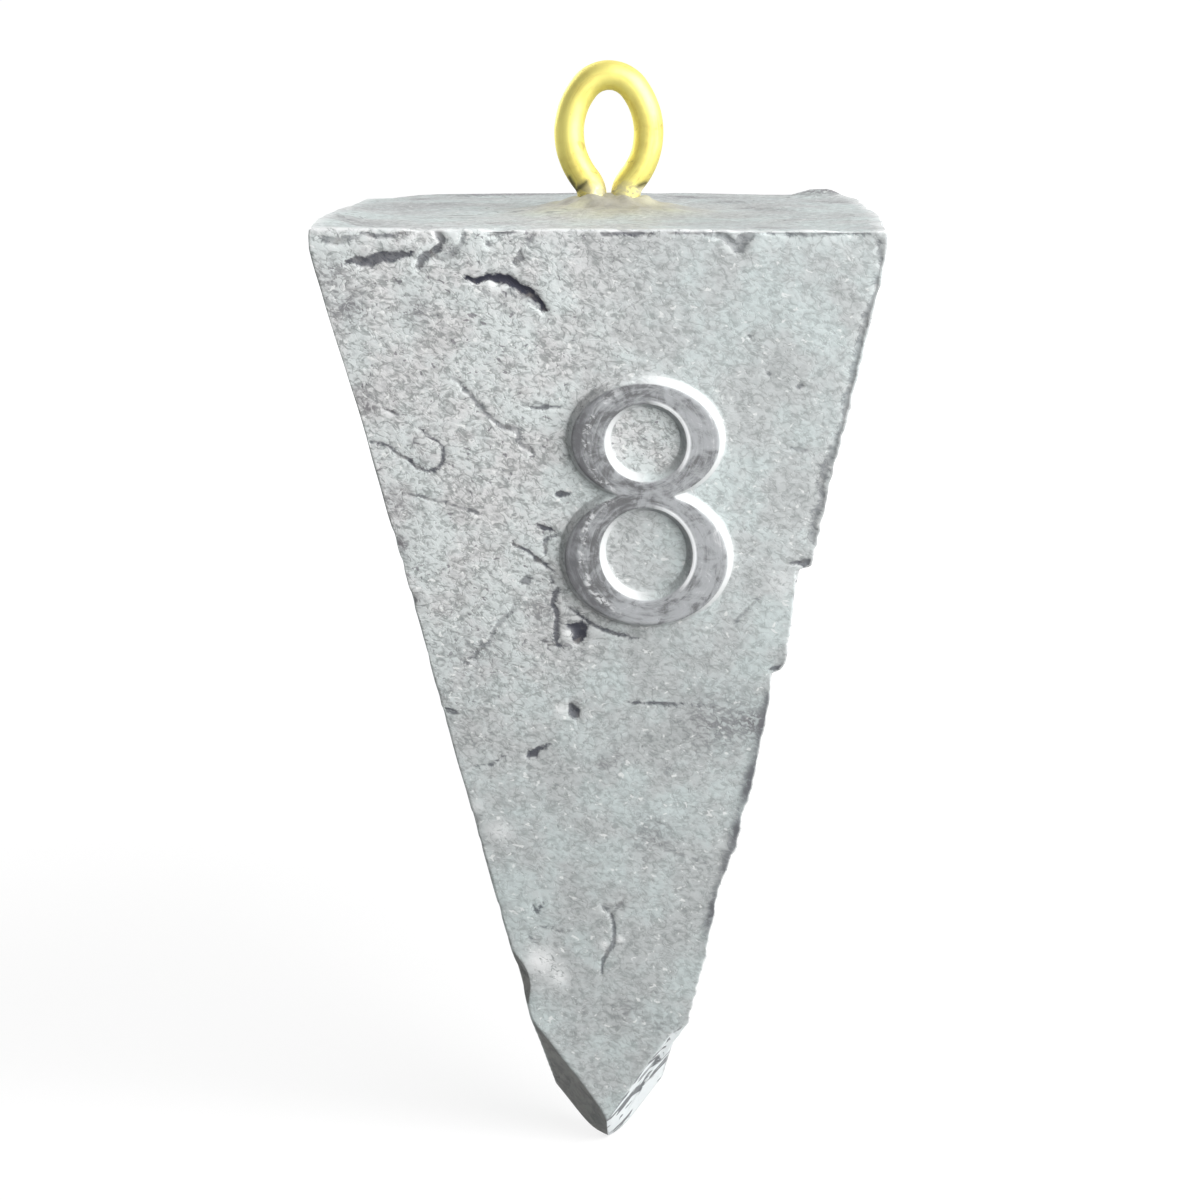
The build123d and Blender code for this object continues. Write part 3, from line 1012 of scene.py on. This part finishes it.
class Finish(Nodes):
    """The nodes of one material, whose base colour is laid on coat by coat."""

    def __init__(self, name):
        self.material = bpy.data.materials.new(name)
        self.material.use_nodes = True
        super().__init__(self.material.node_tree)
        self.shader = self.tree.nodes["Principled BSDF"]
        self.base = None

    def lay_grain(self, flake_size):
        """Adds the grain group, made once for both metals, on the object's places in millimetres."""
        place = self.object_place()
        self.place = self.add(
            "ShaderNodeVectorMath", {0: place, "Scale": 1 / MM}, operation="SCALE").outputs[0]
        group = self.add("ShaderNodeGroup", node_tree=bpy.data.node_groups.get(GRAIN_NAME) or grain_group())
        self.put(group.inputs["Vector"], self.place)
        self.put(group.inputs["Flake Size"], flake_size)
        self.mottle, self.flake, self.speck, self.pit = group.outputs

    def paint(self, share, colour, mode="MIX"):
        """Lays a coat over the base colour."""
        self.base = self.blend(share, self.base, colour, mode)

    def dress(self, **values):
        """Links or sets the shader's sockets, by their names with underscores for spaces."""
        for key, value in values.items():
            self.put(self.shader.inputs[key.replace("_", " ")], value)

    def bumps(self, height, strength, depth):
        """Normals of a rough surface, from its height and depth in millimetres."""
        node = self.add("ShaderNodeBump", {"Strength": strength, "Distance": depth * MM, "Height": height})
        return node.outputs[0]


class LeadFinish(Finish):
    """Cast lead: flaked grey skin, grime and painted shade in the marks, rubbed figure with painted light
    and shade on its walls, painted highlights on the rim and flash, and painted light and shade on the tip.
    """

    # Colours of the skin and of what lies on it, painted shade and painted highlights among them, besides
    # those in the settings
    WARM = (1.04, 1.03, 1.025)
    COOL = (0.96, 1.0, 0.995)
    ROSY = (1.035, 0.995, 1.0)
    BLUISH = (0.985, 1.0, 1.0)
    PIT = (0.16, 0.15, 0.17)
    BRUISE = (0.18, 0.168, 0.183)
    LOW_AND_TOP_SHADE = (0.69, 0.7, 0.7)
    SPECK = (0.9, 0.91, 0.9)
    GREY_TINT = (0.38, 0.36, 0.31)
    YELLOW_TINT = (0.6, 0.57, 0.39)
    DRY_GRIME_AND_SHADE = (0.17, 0.16, 0.155)
    EDGE_BAND_DARK = (0.12, 0.122, 0.135)
    SHEEN_HIGHLIGHT = (0.87, 0.88, 0.88)

    # Colours of the figure, with the painted highlight and painted shade of its walls and the painted
    # highlight of its inner lip
    RUBBED = (0.45, 0.465, 0.48)
    BARE = (0.64, 0.65, 0.66)
    OUTER_STROKE_SHADE = (0.13, 0.132, 0.142)
    SCUFF = (0.66, 0.67, 0.68)
    LIT_WALL = (0.7, 0.715, 0.715)
    DEEP_WALL_SHADE = (0.08, 0.085, 0.11)
    LIP_HIGHLIGHT = (0.95, 0.97, 0.98)

    # Colours of the tip's facets: painted shade on the left ones and the chip's bevel, and a painted
    # highlight with dark tears on the right ones
    SMOOTH_SHADE = (0.125, 0.125, 0.12)
    PATCHY_SHADE = (0.26, 0.255, 0.24)
    FACET_HIGHLIGHT = (0.86, 0.9, 0.91)
    TEAR = (0.22, 0.23, 0.24)

    def __init__(self, look):
        super().__init__("cast_lead")
        self.look = look
        self.lay_grain(0.24)
        self.blots = self.noise(self.place, 0.8, 6.0, 0.68, 0.8)
        self.flaky = self.value("flaky")
        self.cast_skin()
        self.far_creases()
        self.rubbed_figure()
        self.figure_walls()
        self.grime_and_shade_in_marks()
        self.shade_and_highlights()
        self.surface()

    def cast_skin(self):
        """Flakes from dull to pale, with pits, bruises, painted shade on the top, the lower front and along
        the back rim, specks and the tint round the collar.
        """
        flake = self.math("SUBTRACT", self.between(self.flake, 0.28, 0.68), 0.5)
        flake = self.scaled(flake, self.scaled(self.flaky, 0.75, 0.42), 0.5)
        flake = self.math("ADD", flake, self.scaled(self.mottle, 1.25, -0.625))
        self.base = self.blend(flake, self.look.dull, self.look.pale)
        self.paint(1.0, self.blend(self.flaky, self.COOL, self.WARM), "MULTIPLY")
        tint = self.blend(self.between(self.mottle, 0.4, 0.62), self.ROSY, self.BLUISH)
        self.paint(1.0, tint, "MULTIPLY")
        self.paint(self.times(self.pit, self.times(self.flaky, 0.7)), self.PIT)
        # The bruise mask also carries the painted shade band along the back rim.
        bruise_and_shade = self.times(self.value("bruise_and_shade"), self.between(self.flake, 0.66, 0.46, 0.3, 1.0))
        self.paint(bruise_and_shade, self.BRUISE)
        # Painted shade, darkening the top and the lower front face
        self.paint(self.value("worn"), self.LOW_AND_TOP_SHADE, "MULTIPLY")
        self.paint(self.times(self.speck, self.scaled(self.flaky, 0.25, 0.55)), self.SPECK)
        collar_tint = self.blend(self.between(self.mottle, 0.35, 0.65), self.GREY_TINT, self.YELLOW_TINT)
        self.paint(self.times(self.value("collar_tint"), 0.8), collar_tint)

    def far_creases(self):
        """Blots and short creases of the top and of the faces behind."""
        far_side = self.value("far_side")
        folds = self.gap(self.noise(self.place, 0.17, 3.0, 0.55, 0.6), 0.5)
        stretches = self.noise(self.place, 0.33, 1.0)
        self.crease = self.times(
            self.between(folds, 0.012, 0.004), self.between(stretches, 0.56, 0.62), far_side)
        self.paint(self.times(self.between(self.blots, 0.56, 0.68), far_side, 0.4), self.BRUISE)
        # The creases are painted dark in the grime colour.
        self.paint(self.times(self.crease, 0.7), self.look.grime_and_shade)

    def rubbed_figure(self):
        """Top of the figure's stroke: rubbed along its sweep, a little painted lightening towards the
        right, painted shade on its outer left part, and scuffs on the left.
        """
        ring_x = self.value("ring_x")
        counter_gap = self.value("counter_gap")
        sweep = self.add("ShaderNodeCombineXYZ", {
            "X": ring_x, "Y": self.value("ring_z"), "Z": self.times(counter_gap, 2.2)})
        streaks = self.noise(sweep.outputs[0], 1.4, 5.0, 0.65, 1.0)
        streak = self.scaled(self.blots, 0.6, self.times(streaks, 0.4))
        # A slight painted lightening towards the right, the side towards the light
        streak = self.scaled(ring_x, 0.04, streak)
        rubbed = self.blend(self.between(streak, 0.4, 0.58), self.look.stroke, self.RUBBED)
        rubbed = self.blend(self.between(streak, 0.6, 0.68), rubbed, self.BARE)
        # Painted shade on the outer left part of the stroke, away from the light; scuffs on the left as
        # well
        on_left = self.between(ring_x, -0.2, -0.7)
        outer_shade = self.times(self.between(counter_gap, 1.35, 1.75), on_left)
        rubbed = self.blend(self.times(outer_shade, 0.6), rubbed, self.OUTER_STROKE_SHADE)
        scuff = self.times(self.between(self.gap(counter_gap, 1.3), 0.3, 0.08), on_left)
        scuff = self.times(scuff, self.between(self.flake, 0.52, 0.66))
        rubbed = self.blend(scuff, rubbed, self.SCUFF)
        self.stroke = self.between(self.value("stroke"), FIGURE_DRAFT - 0.06, FIGURE_DRAFT + 0.02)
        self.paint(self.stroke, rubbed)

    def figure_walls(self):
        """Walls of the figure: painted highlight where they face the light, painted shade where they face
        away, and a painted highlight on the inner lip.
        """
        place = self.value("stroke")
        facing = self.value("facing")
        inner = self.value("inner")
        self.wall = self.times(
            self.between(place, -0.05, 0.02), self.between(place, FIGURE_DRAFT + 0.02, FIGURE_DRAFT - 0.05))
        # Painted highlight on the walls that face the light
        self.paint(self.times(self.wall, self.between(facing, 0.15, 0.6)), self.LIT_WALL)
        # Painted shade on the walls that face away from the light, in the stroke's colour, darkest deep
        # inside the counters
        unlit = self.times(self.wall, self.between(facing, 0.0, -0.5))
        self.paint(self.times(unlit, 0.38), self.look.stroke)
        deep_wall_shade = self.times(unlit, inner, self.between(self.value("ring_z"), 0.7, -0.3, 0.0, 0.25))
        self.paint(deep_wall_shade, self.DEEP_WALL_SHADE)
        # Painted highlight along the top edge of the inner walls that face away from the light
        lip = self.times(
            self.between(place, FIGURE_DRAFT, FIGURE_DRAFT + 0.05),
            self.between(place, FIGURE_DRAFT + 0.3, FIGURE_DRAFT + 0.16))
        self.paint(self.times(lip, self.between(facing, -0.3, -0.8), inner), self.LIP_HIGHLIGHT)

    def grime_and_shade_in_marks(self):
        """Grime and painted shade in the marks, with ragged edges, and a dark band along the right edge."""
        gap = self.math("ADD", self.value("mark_gap"), self.scaled(self.flake, 0.24, -0.12))
        self.mark = self.times(self.between(gap, 0.08, -0.07), self.value("mark_tone"))
        # Marks are painted dark: partly grime, partly the painted shade of their walls and of the rim and
        # steps above them
        grime_and_shade = self.blend(self.between(self.blots, 0.5, 0.7), self.look.grime_and_shade, self.DRY_GRIME_AND_SHADE)
        self.paint(self.mark, grime_and_shade)
        # A dark band painted along the right edge
        edge_band_dark = self.times(self.value("edge_band_dark"), self.between(self.flake, 0.75, 0.55, 0.6, 0.9))
        self.paint(edge_band_dark, self.EDGE_BAND_DARK)

    def shade_and_highlights(self):
        """Painted shade on the tip's left facets, painted highlights on the rim, bright spots and the
        flash's edge, and a painted highlight with dark tears on the tip's right facets.
        """
        # Painted shade on the left facets and the chip's bevel
        facet_light = self.value("facet_light")
        shaded = self.math("MAXIMUM", self.times(facet_light, -1.0), 0.0)
        shade = self.blend(self.between(self.blots, 0.4, 0.62), self.SMOOTH_SHADE, self.PATCHY_SHADE)
        self.paint(self.times(shaded, 0.8), shade)
        # Painted highlights: the rim line, bright spots and the flash's outer edge, which are also made a
        # little metallic and smoother
        self.sheen = self.math("MAXIMUM", self.value("sheen"), self.value("flash"))
        self.sheen = self.times(self.sheen, self.between(self.flake, 0.25, 0.45))
        self.paint(self.sheen, self.SHEEN_HIGHLIGHT)
        # Painted highlight on the right facets, with dark tears
        tears = self.noise(self.turned(self.place, 36, (1.0, 1.0, 3.2)), 1.5, 3.0, 0.6, 0.6)
        facet_highlight = self.blend(self.between(tears, 0.535, 0.58), self.FACET_HIGHLIGHT, self.TEAR)
        self.paint(self.math("MAXIMUM", facet_light, 0.0), facet_highlight)

    def surface(self):
        """Bumps, gloss and metal of the skin."""
        height = self.times(self.flake, self.scaled(self.flaky, 0.8, 0.2))
        height = self.times(height, self.scaled(self.math("MAXIMUM", self.stroke, self.wall), -0.75, 1.0))
        height = self.math("SUBTRACT", height, self.times(self.pit, 0.25))
        height = self.math("SUBTRACT", height, self.crease)
        rough = self.scaled(self.sheen, -0.15, self.scaled(self.mottle, 0.2, 0.5))
        self.dress(
            Base_Color=self.base,
            Roughness=self.scaled(self.mark, 0.2, rough),
            Metallic=self.scaled(self.sheen, 0.25, 0.05),
            Specular_IOR_Level=0.25,
            Normal=self.bumps(height, 0.55, 0.06),
        )


class BrassFinish(Finish):
    """Drawn brass wire: bright, with dulled patches, and dirt, cracks and pale lead smears with a painted
    highlight at its feet.
    """

    ROOT = (0.52, 0.48, 0.32)
    SMEAR_AND_HIGHLIGHT = (0.82, 0.8, 0.62)
    CRACK = (0.1, 0.095, 0.06)
    PIT = (0.3, 0.24, 0.08)

    def __init__(self, look):
        super().__init__("brass_wire")
        self.lay_grain(0.5)
        lines = self.add("ShaderNodeCombineXYZ", {
            "X": self.times(self.value("along"), 0.25), "Y": self.times(self.value("round"), 6.0)})
        drawn = self.noise(lines.outputs[0], 1.4, 4.0, 0.6)
        dull = self.math("ADD", self.between(self.mottle, 0.42, 0.72), self.between(drawn, 0.5, 0.8))
        root = self.times(self.value("root"), self.between(self.flake, 0.4, 0.64))
        self.base = self.blend(self.times(dull, 0.55), look.brass, look.tarnish)
        self.paint(root, self.ROOT)
        # Pale lead smears at the feet, with a painted highlight on them
        self.paint(self.times(self.value("smear_and_highlight"), 0.8), self.SMEAR_AND_HIGHLIGHT)
        self.paint(self.times(self.value("crack"), 0.85), self.CRACK)
        self.paint(self.times(self.pit, 0.5), self.PIT)
        height = self.scaled(drawn, 0.6, self.times(self.flake, 0.4))
        self.dress(
            Base_Color=self.base,
            Roughness=self.scaled(root, 0.3, self.scaled(dull, 0.1, 0.58)),
            Metallic=1.0,
            Normal=self.bumps(height, 0.35, 0.04),
        )


# Wire eye

WIRE_SIDES = 44


def wire_route(size):
    """Centre line of the wire in X and Z, from the end of one leg to the end of the other."""
    wire = size.wire_diameter / MM / 2
    half_width = size.opening_width / MM / 2 + wire
    crown_z = WIRE_HIGH.z - wire
    crown = size.crown_radius / MM + wire
    neck = size.neck_radius / MM + wire
    neck_half = size.neck_gap / MM / 2 + wire
    splay = size.leg_splay
    length = size.leg_length / MM
    crown_middle = crown_z - crown
    side = (half_width**2 + crown_middle**2 - crown**2) / (2 * (half_width - crown))
    side_x = half_width - side
    to_crown = atan2(crown_middle, -side_x)
    to_neck = acos((neck_half + neck - side_x) / (side + neck))
    neck_x = side_x + (side + neck) * cos(to_neck)
    neck_z = -(side + neck) * sin(to_neck)
    leg_x = neck_x - neck * cos(splay)
    leg_z = neck_z - neck * sin(splay)

    def arc(x, z, radius, start, end, steps):
        turn = np.linspace(start, end, steps)
        return np.stack([x + radius * np.cos(turn), z + radius * np.sin(turn)], axis=-1)

    reach = np.linspace(length, 0, 12)
    half = np.concatenate([
        np.stack([leg_x + reach * sin(splay), leg_z - reach * cos(splay)], axis=-1)[:-1],
        arc(neck_x, neck_z, neck, pi + splay, pi - to_neck, 16)[:-1],
        arc(side_x, 0, side, -to_neck, to_crown, 40)[:-1],
        arc(0, crown_middle, crown, to_crown, pi / 2, 28),
    ])
    other = half[-2::-1] * (-1, 1)
    return np.concatenate([half, other])


def shape_eye(size):
    """Points of the wire's skin, ring by ring along its centre line, and the values its material reads."""
    route = wire_route(size)
    ahead = np.gradient(route, axis=0)
    ahead /= np.linalg.norm(ahead, axis=-1, keepdims=True)
    out = np.stack([ahead[:, 1], 0 * ahead[:, 0], -ahead[:, 0]], axis=-1)
    middle = np.stack([route[:, 0], 0 * route[:, 0], route[:, 1]], axis=-1)
    turn = np.linspace(0, 2 * pi, WIRE_SIDES, endpoint=False)
    wire = size.wire_diameter / MM / 2
    across = np.cos(turn)[None, :, None] * out[:, None, :]
    deep = np.sin(turn)[None, :, None] * np.array([0, 1.0, 0])
    outward = across + deep
    points = middle[:, None, :] + wire * 0.985 * outward
    points += 0.015 * lumps(points, 0.9, 31)[..., None] * outward
    along = np.concatenate([[0], np.cumsum(np.linalg.norm(np.diff(route, axis=0), axis=-1))])
    x = points[..., 0]
    down = -points[..., 2]
    crack_gap = np.min([line_distance(x, down, line)[0] for line in FOOT_CRACKS], axis=0)
    values = {
        "along": along[:, None],
        "round": np.abs(np.sin(turn / 2))[None, :],
        "root": smooth_step(2.1, 3.5, down),
        "crack": np.exp(-((crack_gap / 0.12) ** 2)),
        "smear_and_highlight": patch_strength(x, down, FOOT_SMEARS_AND_HIGHLIGHTS),
    }
    return points, (middle[0], middle[-1]), values


# Operators

class SINKER_OT_lead_weight(bpy.types.Operator):
    """Build the lead weight, with its figure, dents and flash"""

    bl_idname = "sinker.lead_weight"
    bl_label = "Lead Weight"

    def execute(self, context):
        settings = context.scene.sinker_lead
        grid = LeadGrid(settings)
        face = FrontFace(grid)
        points = lead_points(grid, face)
        top = points[0].mean(axis=0)
        tip = np.array([points[-1, :, 0].mean(), points[-1, :, 1].mean(), grid.tip_z + 0.01])
        piece = write_mesh("cast_lead_weight", points, (top, tip), lead_values(grid, face))
        piece.data.materials.append(LeadFinish(settings).material)
        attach(piece, BODY)
        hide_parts(LEAD_NODE)
        return {"FINISHED"}


class SINKER_OT_wire_eye(bpy.types.Operator):
    """Build the brass wire eye"""

    bl_idname = "sinker.wire_eye"
    bl_label = "Wire Eye"

    def execute(self, context):
        settings = context.scene.sinker_eye
        points, ends, values = shape_eye(settings)
        piece = write_mesh("brass_wire_eye", points, ends, values)
        piece.data.materials.append(BrassFinish(settings).material)
        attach(piece, BODY)
        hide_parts(WIRE_NODE)
        return {"FINISHED"}


# Studio

# Metres: the floor, where it begins to look white and where it does, the lamps, and the lamps' places
# from the middle of the sinker
FLOOR_HALF = 10.0
GREY_REACH = 0.07
WHITE_REACH = 0.35
LAMP_SIZE = 0.4
KEY_PLACE = Vector((0.72, -0.56, 0.4)).normalized() * 0.35
BACK_PLACE = Vector((-0.6, 0.7, 0.4)).normalized() * 0.6

# Light that the floor adds near the tip and far from it, and the dark part of the room: its direction and
# how bright it is in reflections
WHITE = (1, 1, 1)
NEAR_GLOW = 0.76
FAR_GLOW = 0.98
DARK_SIDE = Vector((-0.75, -0.65, 0.1)).normalized()
DARK_LIGHT = 0.3

# Millimetres: what the camera aims at, its sensor, and the nearest that it sees
VIEW_MIDDLE = Vector((-0.5, 0, -26.8))
SENSOR_WIDTH = 36
NEAREST_SEEN = 5.0


def add_floor(settings, level):
    """Pale floor at the tip's level, which looks white but keeps the shadow."""
    corners = [(-1, -1), (1, -1), (1, 1), (-1, 1)]
    mesh = bpy.data.meshes.new("floor")
    mesh.from_pydata([(x * FLOOR_HALF, y * FLOOR_HALF, level) for x, y in corners], [], [(0, 1, 2, 3)])
    finish = Finish("floor")
    finish.dress(Base_Color=settings.floor_colour, Roughness=0.9, Specular_IOR_Level=0.0)
    reach = finish.add("ShaderNodeVectorMath", {0: finish.object_place()}, operation="LENGTH")
    strength = finish.between(reach.outputs["Value"], GREY_REACH, WHITE_REACH, NEAR_GLOW, FAR_GLOW)
    path = finish.add("ShaderNodeLightPath").outputs
    seen = finish.math("MAXIMUM", path["Is Camera Ray"], path["Is Transmission Ray"])
    seen = finish.math("MAXIMUM", seen, path["Is Glossy Ray"])
    glow = finish.add("ShaderNodeEmission", {"Color": WHITE, "Strength": finish.times(strength, seen)})
    added = finish.add("ShaderNodeAddShader", {0: finish.shader.outputs[0], 1: glow.outputs[0]})
    finish.put(finish.tree.nodes["Material Output"].inputs["Surface"], added.outputs[0])
    mesh.materials.append(finish.material)
    add_object("floor", mesh)


def add_lamp(name, power, place, middle):
    """A square lamp that looks at the middle of the sinker."""
    lamp = bpy.data.lights.new(name, "AREA")
    lamp.energy = power
    lamp.size = LAMP_SIZE
    holder = add_object(name, lamp)
    holder.location = middle + place
    holder.rotation_euler = (-place).to_track_quat("-Z", "Y").to_euler()


def light_room(settings):
    """Even grey light, white where it is seen, and darker to the left of the camera in reflections."""
    world = bpy.data.worlds.new("studio")
    world.use_nodes = True
    bpy.context.scene.world = world
    nodes = Nodes(world.node_tree)
    path = nodes.add("ShaderNodeLightPath").outputs
    ray = nodes.add("ShaderNodeTexCoord").outputs["Generated"]
    toward = nodes.add("ShaderNodeVectorMath", {0: ray, 1: DARK_SIDE}, operation="DOT_PRODUCT")
    reflected = nodes.between(toward.outputs["Value"], 0.1, 0.55, 1.0, DARK_LIGHT)
    reflected = nodes.math("SUBTRACT", reflected, settings.room_light)
    strength = nodes.scaled(path["Is Glossy Ray"], reflected, settings.room_light)
    seen = nodes.math("MAXIMUM", path["Is Camera Ray"], path["Is Transmission Ray"])
    background = world.node_tree.nodes["Background"].inputs
    nodes.put(background["Color"], WHITE)
    nodes.put(background["Strength"], nodes.math("MAXIMUM", strength, seen))


def add_camera(settings):
    """Camera at the photograph's viewing angle."""
    turn = settings.azimuth
    lift = settings.elevation
    back = Vector((sin(turn) * cos(lift), -cos(turn) * cos(lift), sin(lift)))
    lens = bpy.data.cameras.new("camera")
    lens.sensor_width = SENSOR_WIDTH
    lens.lens = settings.lens
    lens.clip_start = NEAREST_SEEN * MM
    camera = add_object("camera", lens)
    camera.location = VIEW_MIDDLE * MM + back * settings.distance
    camera.rotation_euler = (-back).to_track_quat("-Z", "Y").to_euler()
    bpy.context.scene.camera = camera


class SINKER_OT_studio(bpy.types.Operator):
    """Set up the floor, the light and the camera"""

    bl_idname = "sinker.studio"
    bl_label = "Studio"

    def execute(self, context):
        settings = context.scene.sinker_studio
        middle = Vector((0, 0, (LEAD_LOW.z + LEAD_HIGH.z) / 2)) * MM
        add_floor(settings, LEAD_LOW.z * MM)
        add_lamp("key_light", settings.key_light, KEY_PLACE, middle)
        add_lamp("back_light", settings.back_light, BACK_PLACE, middle)
        light_room(settings)
        add_camera(settings)
        context.scene.view_settings.view_transform = "Standard"
        return {"FINISHED"}


class SINKER_PT_panel(bpy.types.Panel):
    """Sinker settings and the operators that build it"""

    bl_label = "Fishing Sinker"
    bl_idname = "SINKER_PT_panel"
    bl_space_type = "VIEW_3D"
    bl_region_type = "UI"
    bl_category = "Sinker"

    def draw(self, context):
        scene = context.scene
        for settings, operator in (
                (scene.sinker_lead, SINKER_OT_lead_weight),
                (scene.sinker_eye, SINKER_OT_wire_eye),
                (scene.sinker_studio, SINKER_OT_studio)):
            box = self.layout.box()
            for key in settings.__annotations__:
                box.prop(settings, key)
            box.operator(operator.bl_idname)


CLASSES = (
    SinkerLead, SinkerEye, SinkerStudio,
    SINKER_OT_lead_weight, SINKER_OT_wire_eye, SINKER_OT_studio, SINKER_PT_panel,
)


def register():
    for each in CLASSES:
        bpy.utils.register_class(each)
    bpy.types.Scene.sinker_lead = PointerProperty(type=SinkerLead)
    bpy.types.Scene.sinker_eye = PointerProperty(type=SinkerEye)
    bpy.types.Scene.sinker_studio = PointerProperty(type=SinkerStudio)


def unregister():
    del bpy.types.Scene.sinker_studio
    del bpy.types.Scene.sinker_eye
    del bpy.types.Scene.sinker_lead
    for each in reversed(CLASSES):
        bpy.utils.unregister_class(each)


def main():
    register()
    bpy.ops.sinker.lead_weight()
    bpy.ops.sinker.wire_eye()
    bpy.ops.sinker.studio()


if __name__ == "__main__":
    main()
